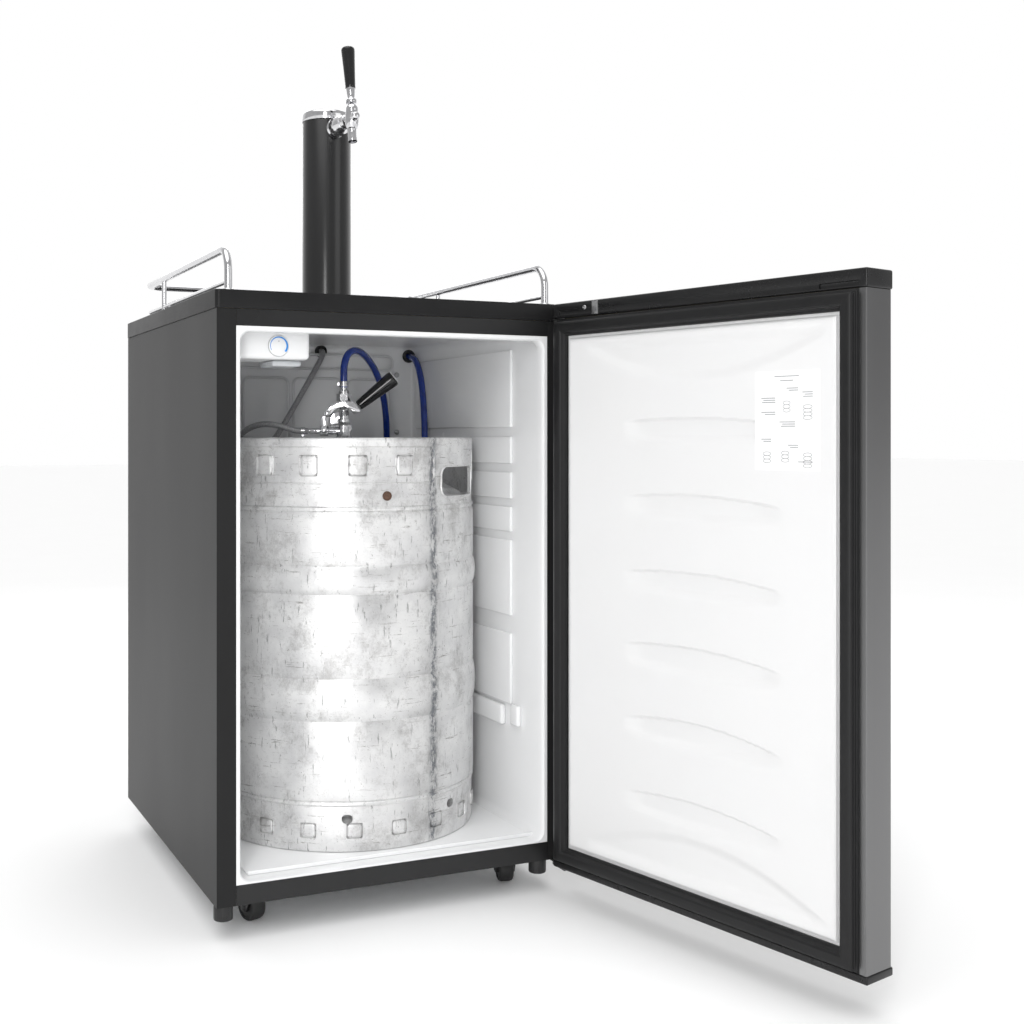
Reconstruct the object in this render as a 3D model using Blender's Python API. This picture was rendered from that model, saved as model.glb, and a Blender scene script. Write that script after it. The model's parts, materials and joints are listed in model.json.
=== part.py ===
"""Kegerator: a tall keg refrigerator with a draft tower, its door standing open on a tapped keg.

The cabinet frame has X to the right, Y to the back and Z up. Y = 0 is the front face of the cabinet, X = 0 its
left side and Z = 0 the floor. Everything hangs on one empty, which moves that frame so that the middle of the
whole object, door open, stands on the world's origin. Sizes are in metres.
"""
import math

import bmesh
import bpy
from mathutils import Matrix, Vector

for leftover in list(bpy.data.objects):
    bpy.data.objects.remove(leftover, do_unlink=True)

# ---------------------------------------------------------------- driving sizes
GAP = 0.0003                 # clearance between pieces that touch
SHEET = 0.001                # steel sheet

WIDTH = 0.505                # cabinet, side to side
DEPTH = 0.5645               # cabinet, without the door
BASE_Z = 0.046               # underside of the cabinet
TOP_Z = 0.8335               # worktop surface
CAP_LOW = 0.8098             # lower edge of the worktop
CAP_SKIN = 0.003
CAP_OVERHANG = 0.0015
STILE = 0.0255               # folded front flange of a side panel
SILL_TOP = 0.0715
HEAD_LOW = 0.788
PAN = 0.0015                 # base pan thickness
STEP_Y = 0.465               # compressor step of the back panel
STEP_Z = 0.290

CAVITY_X = (0.0325, 0.4725)
CAVITY_Y = (0.018, 0.455)
CAVITY_Z = (0.0745, 0.800)
MOUTH_TOP = 0.781
LINER = 0.002                # liner wall
RIM_DEPTH = 0.0042           # the liner's front rim

DOOR_OPEN = math.radians(103.1)
PIVOT_X, PIVOT_Y = 0.4928, -0.0251
DOOR_IN, DOOR_OUT = -0.0141, -0.0625
DOOR_LOW, DOOR_TOP = 0.042, 0.832
SKIN_LOW, SKIN_TOP = 0.0523, 0.8095
RETURN = 0.009               # skin's fold on the inner side
LEAF_LOW, LEAF_TOP = 0.8100, 0.8118
PIN_RADIUS = 0.003

TOWER_X, TOWER_Y = 0.2525, 0.292
TOWER_RADIUS = 0.0375
TOWER_WALL = 0.002
TOWER_TOP = 1.131
SHANK_Z = 1.1155
FAUCET_Y = 0.182             # vertical axis of the faucet
LEVER_Z = 1.128
LEVER_LEAN = math.radians(10.3)

KEG_X, KEG_Y = 0.260, 0.236
KEG_RADIUS = 0.1955
KEG_LOW, KEG_TOP = 0.0771, 0.645
NECK_TOP = 0.626
COUPLER_TURN = math.radians(-20.4)
HANDLE_PIVOT = (-0.0248, 0.6804)
GRIP_RISE = math.radians(38.4)
GAS_Z = 0.6545
GAS_VALVE_X = -0.0295

BEER_HOSE = 0.0056           # hose radii
GAS_HOSE = 0.0045
CYLINDER_X, CYLINDER_Y = 0.385, 0.643
CYLINDER_RADIUS = 0.0665
SHELF_Z = 0.200
VALVE_Z = 0.632

RAIL_X = (0.020, 0.485)
RAIL_Y = (0.018, 0.505)
RAIL_Z = 0.8895
RAIL_RADIUS = 0.0052
ROD_Z = 0.846
ROD_RADIUS = 0.003

CASTER_X = (0.0706, 0.4438)
CASTER_Y = (0.058, DEPTH - 0.058)
WHEEL_RADIUS = 0.0188
TRAIL = 0.012
FOOT_RADIUS = 0.0125

# the middle of the whole object, with its door open, from its outermost corners
far_x, far_y = -PIVOT_X, DOOR_OUT - PIVOT_Y
DOOR_REACH_X = PIVOT_X + far_x * math.cos(DOOR_OPEN) - far_y * math.sin(DOOR_OPEN)
DOOR_REACH_Y = PIVOT_Y + far_x * math.sin(DOOR_OPEN) + (DOOR_IN - PIVOT_Y) * math.cos(DOOR_OPEN)
CENTRE_X = (DOOR_REACH_X - CAP_OVERHANG) / 2
CENTRE_Y = (DOOR_REACH_Y + CYLINDER_Y + CYLINDER_RADIUS) / 2


# ---------------------------------------------------------------- finishes: colour, roughness, metallic
LOOKS = {
    "black_steel": ((0.030, 0.030, 0.031), 0.38, 0.0),
    "black_worktop": ((0.022, 0.022, 0.023), 0.42, 0.0),
    "galvanised": ((0.42, 0.43, 0.44), 0.45, 1.0),
    "white_liner": ((0.80, 0.81, 0.82), 0.32, 0.0),
    "grey_plate": ((0.58, 0.60, 0.61), 0.40, 0.3),
    "foam": ((0.72, 0.62, 0.36), 0.90, 0.0),
    "stainless": ((0.46, 0.46, 0.47), 0.32, 1.0),
    "rubber": ((0.015, 0.015, 0.016), 0.75, 0.0),
    "black_plastic": ((0.020, 0.020, 0.021), 0.35, 0.0),
    "chrome": ((0.80, 0.80, 0.81), 0.12, 1.0),
    "keg_metal": ((0.66, 0.67, 0.68), 0.36, 1.0),
    "blue_hose": ((0.012, 0.040, 0.230), 0.18, 0.0),
    "grey_hose": ((0.14, 0.14, 0.15), 0.35, 0.0),
    "lens": ((0.50, 0.52, 0.54), 0.20, 0.0),
    "brass": ((0.72, 0.52, 0.24), 0.28, 1.0),
    "painted_cylinder": ((0.62, 0.63, 0.64), 0.30, 0.4),
    "gauge_face": ((0.75, 0.75, 0.74), 0.25, 0.0),
}


def finish(node_name, look):
    """Material of one node, from the finish table."""
    colour, roughness, metallic = LOOKS[look]
    material = bpy.data.materials.new(f"{node_name}_{look}")
    material.use_nodes = True
    shader = material.node_tree.nodes["Principled BSDF"]
    shader.inputs["Base Color"].default_value = (*colour, 1.0)
    shader.inputs["Roughness"].default_value = roughness
    shader.inputs["Metallic"].default_value = metallic
    return material


# ---------------------------------------------------------------- modelling tools
def empty(name, place, parent=None, turn=(0.0, 0.0, 0.0)):
    """Frame of reference that pieces hang on."""
    frame = bpy.data.objects.new(name, None)
    bpy.context.collection.objects.link(frame)
    frame.parent = parent
    frame.location = place
    frame.rotation_euler = turn
    return frame


def node(name, shape, look, parent, place=(0.0, 0.0, 0.0), sharp_angle=35.0):
    """One named piece of the object."""
    piece = bpy.data.objects.new(name, shape)
    bpy.context.collection.objects.link(piece)
    piece.parent = parent
    piece.location = place
    shape.materials.append(finish(name, look))
    if isinstance(shape, bpy.types.Mesh):
        shape.shade_smooth()
        shape.set_sharp_from_angle(angle=math.radians(sharp_angle))
    return piece


def to_mesh(shape):
    """Mesh from an edit mesh, with its faces pointing out."""
    bmesh.ops.recalc_face_normals(shape, faces=shape.faces)
    mesh = bpy.data.meshes.new("shape")
    shape.to_mesh(mesh)
    shape.free()
    return mesh


def block(low, high, bevel=0.0, steps=2):
    """Rectangular block between two corners, with its edges rounded by the bevel."""
    shape = bmesh.new()
    bmesh.ops.create_cube(shape, size=1.0)
    size = [top - bottom for bottom, top in zip(low, high)]
    middle = [(top + bottom) / 2 for bottom, top in zip(low, high)]
    bmesh.ops.scale(shape, vec=size, verts=shape.verts)
    bmesh.ops.translate(shape, vec=middle, verts=shape.verts)
    if bevel:
        bmesh.ops.bevel(shape, geom=shape.edges[:], offset=bevel, segments=steps, profile=0.5, affect="EDGES")
    return to_mesh(shape)


def prism(outline, low, high, along="Z"):
    """Bar with the given outline between two levels of one axis."""
    place = {
        "X": lambda u, v, w: (w, u, v),
        "Y": lambda u, v, w: (u, w, v),
        "Z": lambda u, v, w: (u, v, w),
    }[along]
    shape = bmesh.new()
    face = shape.faces.new([shape.verts.new(place(u, v, low)) for u, v in outline])
    grown = bmesh.ops.extrude_face_region(shape, geom=[face])
    moved = [item for item in grown["geom"] if isinstance(item, bmesh.types.BMVert)]
    bmesh.ops.translate(shape, verts=moved, vec=place(0.0, 0.0, high - low))
    return to_mesh(shape)


def rounded(low, high, radius, steps=4):
    """Outline of a rectangle with round corners."""
    corners = (((high[0], high[1]), 0), ((low[0], high[1]), 90), ((low[0], low[1]), 180), ((high[0], low[1]), 270))
    points = []
    for (x, y), start in corners:
        centre_x = x - math.copysign(radius, x - (low[0] + high[0]) / 2)
        centre_y = y - math.copysign(radius, y - (low[1] + high[1]) / 2)
        for step in range(steps + 1):
            angle = math.radians(start + 90 * step / steps)
            points.append((centre_x + radius * math.cos(angle), centre_y + radius * math.sin(angle)))
    return points


def turned(profile, steps=24, ring=False, along="Z", centre=(0.0, 0.0, 0.0)):
    """Round solid from a profile of (radius, height) points, spun about an axis through the centre.

    A solid's profile starts and ends on the axis. A ring's profile is a closed loop clear of the axis.
    """
    shape = bmesh.new()
    points = [shape.verts.new((radius, 0.0, height)) for radius, height in profile]
    edges = [shape.edges.new(pair) for pair in zip(points, points[1:])]
    if ring:
        edges.append(shape.edges.new((points[-1], points[0])))
    bmesh.ops.spin(shape, geom=points + edges, cent=(0, 0, 0), axis=(0, 0, 1), angle=math.tau, steps=steps)
    bmesh.ops.remove_doubles(shape, verts=shape.verts, dist=1e-6)
    lay = {
        "X": Matrix.Rotation(math.radians(90), 3, "Y"),
        "Y": Matrix.Rotation(math.radians(-90), 3, "X"),
        "Z": Matrix.Identity(3),
    }[along]
    bmesh.ops.transform(shape, matrix=lay.to_4x4(), verts=shape.verts)
    bmesh.ops.translate(shape, vec=centre, verts=shape.verts)
    return to_mesh(shape)


def rod(radius, low, high, along, centre, steps=16):
    """Plain round bar: low and high are levels along its axis, relative to the centre."""
    return turned([(0, low), (radius, low), (radius, high), (0, high)], steps, along=along, centre=centre)


def combined(base, others, operation="UNION"):
    """Mesh of one solid joined with other solids, or cut by them."""
    body = bpy.data.objects.new("body", base)
    bpy.context.collection.objects.link(body)
    tools = []
    for other in others:
        tool = bpy.data.objects.new("tool", other)
        bpy.context.collection.objects.link(tool)
        step = body.modifiers.new("step", "BOOLEAN")
        step.operation = operation
        step.solver = "EXACT"
        step.object = tool
        tools.append(tool)
    result = bpy.data.meshes.new_from_object(body.evaluated_get(bpy.context.evaluated_depsgraph_get()))
    for used in [body, *tools]:
        bpy.data.objects.remove(used, do_unlink=True)
    return result


def carved(base, cutters):
    """Mesh of one solid with others cut out of it."""
    return combined(base, cutters, "DIFFERENCE")


def filleted(corners, radii, steps=5):
    """Points of a path through corners, with an arc of its own radius at each inner corner."""
    corners = [Vector(corner) for corner in corners]
    points = [corners[0]]
    for before, corner, after, radius in zip(corners, corners[1:], corners[2:], radii):
        to_before = (before - corner).normalized()
        to_after = (after - corner).normalized()
        half = to_before.angle(to_after) / 2
        centre = corner + (to_before + to_after).normalized() * radius / math.sin(half)
        start = corner + to_before * radius / math.tan(half) - centre
        end = corner + to_after * radius / math.tan(half) - centre
        for step in range(steps + 1):
            points.append(centre + start.length * start.slerp(end, step / steps))
    points.append(corners[-1])
    return points


def smooth_route(route, spacing):
    """Points at an even spacing along the smooth curve through the route's points."""
    route = [Vector(point) for point in route]
    padded = [2 * route[0] - route[1], *route, 2 * route[-1] - route[-2]]
    fine = []
    parts = 24
    for a, b, c, d in zip(padded, padded[1:], padded[2:], padded[3:]):
        for part in range(parts):
            t = part / parts
            fine.append(0.5 * (2 * b + (c - a) * t + (2 * a - 5 * b + 4 * c - d) * t * t
                               + (3 * b - a - 3 * c + d) * t * t * t))
    fine.append(route[-1])
    length = sum((after - before).length for before, after in zip(fine, fine[1:]))
    stretch = length / round(length / spacing)
    points = [fine[0]]
    travelled = 0.0
    for before, after in zip(fine, fine[1:]):
        travelled += (after - before).length
        if travelled >= stretch * len(points) and len(points) < round(length / stretch):
            points.append(after)
    points.append(fine[-1])
    return points


def tube(points, radius, resolution=2):
    """Curve along the points, with a round section and filled ends."""
    curve = bpy.data.curves.new("tube", "CURVE")
    curve.dimensions = "3D"
    curve.bevel_depth = radius
    curve.bevel_resolution = resolution
    curve.use_fill_caps = True
    curve.resolution_u = 1
    spline = curve.splines.new("POLY")
    spline.points.add(len(points) - 1)
    for item, point in zip(spline.points, points):
        item.co = (*point, 1.0)
    return curve


def tube_mesh(points, radius, resolution=2):
    """The same tube as a closed mesh, for joining and cutting."""
    holder = bpy.data.objects.new("holder", tube(points, radius, resolution))
    bpy.context.collection.objects.link(holder)
    bpy.context.view_layer.update()
    mesh = bpy.data.meshes.new_from_object(holder)
    bpy.data.objects.remove(holder, do_unlink=True)
    shape = bmesh.new()
    shape.from_mesh(mesh)
    bmesh.ops.remove_doubles(shape, verts=shape.verts, dist=1e-6)
    return to_mesh(shape)


# ---------------------------------------------------------------- frames of reference
CABINET = empty("cabinet", (-CENTRE_X, -CENTRE_Y, 0.0))
DOOR = empty("door_axis", (PIVOT_X, PIVOT_Y, 0.0), CABINET, (0.0, 0.0, DOOR_OPEN))
DOOR_SHIFT = (-PIVOT_X, -PIVOT_Y, 0.0)
LEVER = empty("faucet_lever_axis", (TOWER_X, FAUCET_Y, LEVER_Z), CABINET, (-LEVER_LEAN, 0.0, 0.0))
COUPLER = empty("coupler_frame", (KEG_X, KEG_Y, 0.0), CABINET, (0.0, 0.0, COUPLER_TURN))
HANDLE = empty("coupler_lever_axis", (HANDLE_PIVOT[0], 0.0, HANDLE_PIVOT[1]), COUPLER)
HANDLE_SHIFT = (-HANDLE_PIVOT[0], 0.0, -HANDLE_PIVOT[1])
PADDLE = empty("gas_valve_axis", (GAS_VALVE_X, 0.0, GAS_Z), COUPLER)
PADDLE_SHIFT = (-GAS_VALVE_X, 0.0, -GAS_Z)

# ---------------------------------------------------------------- hose routes
BEER_START = (KEG_X, KEG_Y, 0.7203)
BEER_END = (TOWER_X, 0.2700, SHANK_Z)
BEER_ROUTE = [
    BEER_START, (0.260, 0.236, 0.736), (0.2615, 0.238, 0.754), (0.270, 0.244, 0.7715), (0.289, 0.259, 0.7785),
    (0.316, 0.285, 0.770), (0.345, 0.318, 0.749), (0.371, 0.354, 0.719), (0.392, 0.390, 0.680),
    (0.405, 0.417, 0.635), (0.413, 0.430, 0.595), (0.421, 0.421, 0.560), (0.430, 0.393, 0.545),
    (0.438, 0.363, 0.562), (0.4435, 0.350, 0.600), (0.447, 0.355, 0.650), (0.452, 0.371, 0.700),
    (0.457, 0.394, 0.745), (0.460, 0.422, 0.775), (0.4605, 0.455, 0.7850), (0.458, 0.490, 0.788),
    (0.444, 0.519, 0.795), (0.415, 0.534, 0.805), (0.380, 0.526, 0.813), (0.342, 0.497, 0.8165),
    (0.305, 0.455, 0.8165), (0.275, 0.412, 0.8165), (0.257, 0.370, 0.8160), (0.2525, 0.336, 0.8165),
    (0.2525, 0.314, 0.824), (0.2525, 0.303, 0.842), (0.2525, 0.302, 0.870), (0.2525, 0.308, 0.930),
    (0.2525, 0.310, 0.990),
    (0.2525, 0.311, 1.050), (0.2525, 0.309, 1.085), (0.2525, 0.301, 1.108), (0.2525, 0.284, 1.1155), BEER_END,
]
GAS_BARB = -0.0542
GAS_START = (KEG_X + GAS_BARB * math.cos(COUPLER_TURN), KEG_Y + GAS_BARB * math.sin(COUPLER_TURN), GAS_Z)
GAS_END = (0.2997, CYLINDER_Y, VALVE_Z)
GAS_PORT_X, GAS_PORT_Z = 0.300, 0.790
GAS_ROUTE = [
    GAS_START, (0.191, 0.2617, 0.6555), (0.168, 0.270, 0.6625), (0.144, 0.282, 0.6645), (0.1245, 0.299, 0.655),
    (0.1165, 0.321, 0.637), (0.1235, 0.345, 0.618), (0.145, 0.363, 0.610), (0.172, 0.371, 0.622),
    (0.198, 0.377, 0.647), (0.228, 0.385, 0.690), (0.259, 0.395, 0.737), (0.283, 0.411, 0.770),
    (0.2965, 0.434, 0.786), (GAS_PORT_X, 0.462, GAS_PORT_Z), (GAS_PORT_X, 0.510, GAS_PORT_Z),
    (GAS_PORT_X, 0.570, GAS_PORT_Z), (0.299, 0.596, 0.789), (0.291, 0.619, 0.782), (0.273, 0.636, 0.762),
    (0.254, 0.643, 0.732), (0.242, 0.6435, 0.695), (0.244, 0.643, 0.660), (0.263, 0.643, 0.637), GAS_END,
]
BEER_LINE = smooth_route(BEER_ROUTE, 2.6 * 2 * BEER_HOSE)
GAS_LINE = smooth_route(GAS_ROUTE, 2.6 * 2 * GAS_HOSE)
BORE_CLEARANCE = 0.0015


def beer_bore():
    """Cutter for the channel that the beer line runs in."""
    return tube_mesh(BEER_LINE, BEER_HOSE + BORE_CLEARANCE, 1)


def gas_bore():
    """Cutter for the gas line's port through the rear wall."""
    return tube_mesh(GAS_LINE, GAS_HOSE + BORE_CLEARANCE, 1)


def leaf_room():
    """Cutter for the slot that the top hinge's leaf passes through."""
    return block((PIVOT_X - 0.0103, -0.01, 0.800), (PIVOT_X + 0.0103, 0.032, LEAF_TOP + GAP))


def foot_places():
    """Left and right levelling foot: x and y of the screw."""
    return {"left": (FOOT_RADIUS + 0.0005, 0.0165), "right": (0.472, 0.0165)}


STEM_RADIUS = 0.004


def foot_bores():
    """Cutters for the levelling feet's screws."""
    return [rod(STEM_RADIUS + GAP, 0.03, 0.0720, "Z", (x, y, 0.0)) for x, y in foot_places().values()]


# ---------------------------------------------------------------- cabinet shell
def side_panels():
    """Steel side sheets, each folded round the front corner into a stile."""
    fold = [(0, 0), (STILE, 0), (STILE, SHEET), (SHEET, SHEET), (SHEET, DEPTH), (0, DEPTH)]
    mirrored = [(WIDTH - x, y) for x, y in fold]
    node("left_side_panel", prism(fold, BASE_Z, CAP_LOW - GAP), "black_steel", CABINET)
    node("right_side_panel", prism(mirrored, BASE_Z, CAP_LOW - GAP), "black_steel", CABINET)


def back_panel():
    """Rear sheet, folded forwards over the compressor and down to the base pan."""
    top = CAP_LOW - GAP
    foot = BASE_Z + PAN + GAP
    fold = [(DEPTH - SHEET, top), (DEPTH, top), (DEPTH, STEP_Z), (STEP_Y + SHEET, STEP_Z), (STEP_Y + SHEET, foot),
            (STEP_Y, foot), (STEP_Y, STEP_Z + SHEET), (DEPTH - SHEET, STEP_Z + SHEET)]
    sheet = prism(fold, SHEET + GAP, WIDTH - SHEET - GAP, "X")
    node("back_panel", carved(sheet, [gas_bore()]), "galvanised", CABINET)


def front_rails():
    """Header above the mouth and sill below it, between the stiles."""
    left, right = STILE + GAP, WIDTH - STILE - GAP
    node("header_rail", block((left, 0, HEAD_LOW), (right, SHEET, CAP_LOW - GAP)), "black_steel", CABINET)
    node("sill_rail", block((left, 0, BASE_Z), (right, SHEET, SILL_TOP)), "black_steel", CABINET)


def base_pan():
    """Bottom sheet that the casters, feet and compressor are fixed to."""
    inset = SHEET + GAP
    pan = block((inset, inset, BASE_Z), (WIDTH - inset, DEPTH - inset, BASE_Z + PAN))
    node("base_pan", carved(pan, foot_bores()), "galvanised", CABINET)


def top_panel():
    """Worktop cap, hollow below, with the tower's hole."""
    slab = block((-CAP_OVERHANG, -CAP_OVERHANG, CAP_LOW), (WIDTH + CAP_OVERHANG, DEPTH + SHEET, TOP_Z))
    pocket = block((SHEET, RIM_DEPTH, CAP_LOW - 0.01), (WIDTH - SHEET, DEPTH - SHEET, TOP_Z - CAP_SKIN))
    tower_hole = rod(0.034, CAP_LOW, TOP_Z + 0.01, "Z", (TOWER_X, TOWER_Y, 0.0), 32)
    node("top_panel", carved(slab, [pocket, tower_hole, leaf_room()]), "black_worktop", CABINET)


def liner_side(grow):
    """Side outline of the liner's outer wall: its floor, back, ceiling and the lip behind the header."""
    low, back, top = CAVITY_Z[0] - LINER - grow, CAVITY_Y[1] + LINER + grow, CAVITY_Z[1] + LINER + grow
    lip = CAVITY_Y[0] - LINER - grow
    lip_top = MOUTH_TOP + LINER + grow
    front = RIM_DEPTH - GAP - grow
    return [(front, low), (back, low), (back, top), (lip, top), (lip, lip_top), (front, lip_top)]


def inner_liner():
    """White moulded tub with its front rim."""
    tub = prism(liner_side(0.0), CAVITY_X[0] - LINER, CAVITY_X[1] + LINER, "X")
    rim = block((STILE + GAP, 0, SILL_TOP + GAP), (WIDTH - STILE - GAP, RIM_DEPTH, HEAD_LOW - GAP))
    room = [(-0.01, CAVITY_Z[0]), (CAVITY_Y[1], CAVITY_Z[0]), (CAVITY_Y[1], CAVITY_Z[1]),
            (CAVITY_Y[0], CAVITY_Z[1]), (CAVITY_Y[0], MOUTH_TOP), (-0.01, MOUTH_TOP)]
    space = prism(room, *CAVITY_X, "X")
    node("inner_liner", carved(combined(tub, [rim]), [space, beer_bore(), gas_bore()]), "white_liner", CABINET)


def foam_insulation():
    """Foam between the steel and the liner, stepped over the compressor."""
    low, top = BASE_Z + PAN + GAP, TOP_Z - CAP_SKIN - GAP
    front, rear = RIM_DEPTH + GAP, DEPTH - SHEET - GAP
    side = [(front, low), (STEP_Y - GAP, low), (STEP_Y - GAP, STEP_Z + SHEET + GAP), (rear, STEP_Z + SHEET + GAP),
            (rear, top), (front, top)]
    fill = prism(side, SHEET + GAP, WIDTH - SHEET - GAP, "X")
    tub = [(y - 0.01 if y < RIM_DEPTH else y, z) for y, z in liner_side(GAP)]
    room = prism(tub, CAVITY_X[0] - LINER - GAP, CAVITY_X[1] + LINER + GAP, "X")
    well = rod(0.034, CAVITY_Z[1] + 0.004, TOP_Z, "Z", (TOWER_X, TOWER_Y, 0.0), 32)
    cutters = [room, well, leaf_room(), beer_bore(), gas_bore(), *foot_bores()]
    node("foam_insulation", carved(fill, cutters), "foam", CABINET)


def floor_tray():
    """Tray that the keg stands on, with a raised front edge."""
    low = CAVITY_Z[0] + GAP
    side = [(0.024, low), (0.445, low), (0.445, low + 0.002), (0.030, low + 0.002), (0.028, 0.0800), (0.024, 0.0800)]
    node("floor_tray", prism(side, 0.048, 0.469, "X"), "white_liner", CABINET)


def evaporator_plate():
    """Cooling plate on four stand-offs, in front of the liner's back wall."""
    face, rear = 0.4465, 0.4485
    plate = prism(rounded((0.045, 0.400), (0.4505, 0.7955), 0.012), face, rear, "Y")
    pegs = [rod(0.006, rear - 0.001, CAVITY_Y[1] - GAP, "Y", (x, 0.0, z)) for x in (0.07, 0.425) for z in (0.43, 0.75)]
    node("evaporator_plate", carved(combined(plate, pegs), [gas_bore()]), "grey_plate", CABINET)


# ---------------------------------------------------------------- controls
DIAL_X, DIAL_Z = 0.0945, 0.766
DIAL_RADIUS = 0.0138
HOUSING_FRONT = 0.040


def controls():
    """Thermostat housing under the ceiling, its dial, and the lamp's lens behind it."""
    box = block((0.0375, HOUSING_FRONT, 0.7485), (0.139, 0.125, CAVITY_Z[1] - GAP), 0.003)
    well = rod(DIAL_RADIUS + 0.0007, 0.03, HOUSING_FRONT + 0.003, "Y", (DIAL_X, 0.0, DIAL_Z), 32)
    node("thermostat_housing", carved(box, [well]), "white_liner", CABINET)
    axis = empty("dial_axis", (DIAL_X, HOUSING_FRONT, DIAL_Z), CABINET)
    disc = [(0, -0.0022), (DIAL_RADIUS - 0.001, -0.0022), (DIAL_RADIUS, -0.0012), (DIAL_RADIUS, 0.0027), (0, 0.0027)]
    node("thermostat_dial", turned(disc, 32, along="Y"), "white_liner", axis)
    node("lamp_lens", block((0.092, 0.060, 0.7400), (0.134, 0.118, 0.7482), 0.003), "lens", CABINET)


# ---------------------------------------------------------------- cooling machinery
def machinery():
    """Hermetic compressor on its foot plate, relay cover and mains inlet at the rear."""
    x, y, floor = 0.185, 0.5165, BASE_Z + PAN + GAP
    shell = [(0, 0.004), (0.030, 0.005), (0.044, 0.020), (0.0465, 0.045), (0.0465, 0.110), (0.044, 0.135),
             (0.030, 0.152), (0, 0.157)]
    pot = turned(shell, 24, centre=(x, y, floor))
    seam = turned([(0.040, 0.076), (0.049, 0.077), (0.049, 0.081), (0.040, 0.082)], 24, ring=True, centre=(x, y, floor))
    foot = block((x - 0.075, y - 0.044, floor), (x + 0.075, y + 0.044, floor + 0.006))
    node("compressor", combined(pot, [seam, foot]), "black_plastic", CABINET)
    low, high = (x + 0.0505, y - 0.022, floor + 0.030), (x + 0.078, y + 0.022, floor + 0.095)
    node("relay_cover", block(low, high, 0.003), "black_plastic", CABINET)
    plug = block((0.048, DEPTH + GAP, 0.312), (0.096, DEPTH + 0.012, 0.346), 0.002)
    socket = block((0.054, DEPTH + 0.003, 0.318), (0.090, DEPTH + 0.02, 0.340))
    node("power_inlet", carved(plug, [socket]), "black_plastic", CABINET)


# ---------------------------------------------------------------- hinges
def hinges():
    """Leaf and pin above and below the door."""
    half = 0.0095
    steps = 8
    tip = [(PIVOT_X + half * math.cos(math.pi + math.pi * step / steps),
            PIVOT_Y + half * math.sin(math.pi + math.pi * step / steps)) for step in range(steps + 1)]
    leaf = prism([*tip, (PIVOT_X + half, 0.031), (PIVOT_X - half, 0.031)], LEAF_LOW, LEAF_TOP)
    pin = rod(PIN_RADIUS, 0.794, LEAF_TOP - 0.0005, "Z", (PIVOT_X, PIVOT_Y, 0.0))
    node("top_hinge_bracket", combined(leaf, [pin]), "black_steel", CABINET)

    under = BASE_Z - GAP
    low_top = DOOR_LOW - 0.0004
    side = [(0.060, under), (-0.004, under), (-0.004, low_top), (-0.0346, low_top), (-0.0346, low_top - 0.002),
            (-0.002, low_top - 0.002), (-0.002, under - 0.002), (0.060, under - 0.002)]
    strap = prism(side, PIVOT_X - 0.0063, WIDTH - 0.0015, "X")
    pin = rod(PIN_RADIUS, low_top - 0.001, 0.058, "Z", (PIVOT_X, PIVOT_Y, 0.0))
    node("bottom_hinge_bracket", combined(strap, [pin]), "black_steel", CABINET)


# ---------------------------------------------------------------- door
def pin_bore(low, high):
    """Cutter for a hinge pin's hole in the door."""
    return rod(PIN_RADIUS + 0.0006, low, high, "Z", (PIVOT_X, PIVOT_Y, 0.0))


def door():
    """Steel skin folded on both edges, foam core, moulded liner, gasket and two end caps."""
    inner, outer = DOOR_IN, DOOR_OUT
    half = [(0, outer), (0, inner), (RETURN, inner), (RETURN, inner - SHEET), (SHEET, inner - SHEET),
            (SHEET, outer + SHEET)]
    fold = half + [(WIDTH - x, y) for x, y in reversed(half)]
    node("door_skin", prism(fold, SKIN_LOW, SKIN_TOP), "stainless", DOOR, DOOR_SHIFT)

    low, top = SKIN_LOW + GAP, SKIN_TOP - GAP
    core = block((SHEET + GAP, outer + SHEET + GAP, low), (WIDTH - SHEET - GAP, -0.0184, top))
    holes = [pin_bore(0.785, 0.82), pin_bore(0.04, 0.062)]
    node("door_foam", carved(core, holes), "foam", DOOR, DOOR_SHIFT)

    edge = RETURN + GAP
    sheet = block((edge, -0.0181, low), (WIDTH - edge, inner - 0.0001, top))
    raised = block((0.0335, -0.0170, 0.0770), (0.4715, -0.0085, 0.7840), 0.003)
    node("door_liner", combined(sheet, [raised]), "white_liner", DOOR, DOOR_SHIFT)

    seal_out = block((0.0100, inner + 0.0002, 0.0535), (0.4950, -0.0012, 0.8075))
    seal_in = block((0.0325, inner - 0.01, 0.0760), (0.4725, 0.01, 0.7850))
    node("door_gasket", carved(seal_out, [seal_in]), "rubber", DOOR, DOOR_SHIFT)

    cap = block((0, outer, CAP_LOW), (WIDTH, inner, DOOR_TOP), 0.0015, 1)
    leaf_slot = block((PIVOT_X - 0.0105, PIVOT_Y - 0.0215, CAP_LOW - 0.01), (WIDTH + 0.01, 0.0, LEAF_TOP + 0.0004))
    node("door_top_cap", carved(cap, [leaf_slot]), "black_plastic", DOOR, DOOR_SHIFT)
    cap = block((0, outer, DOOR_LOW), (WIDTH, inner, SKIN_LOW - GAP), 0.0015, 1)
    node("door_bottom_cap", carved(cap, [pin_bore(0.03, 0.07)]), "black_plastic", DOOR, DOOR_SHIFT)


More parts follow.
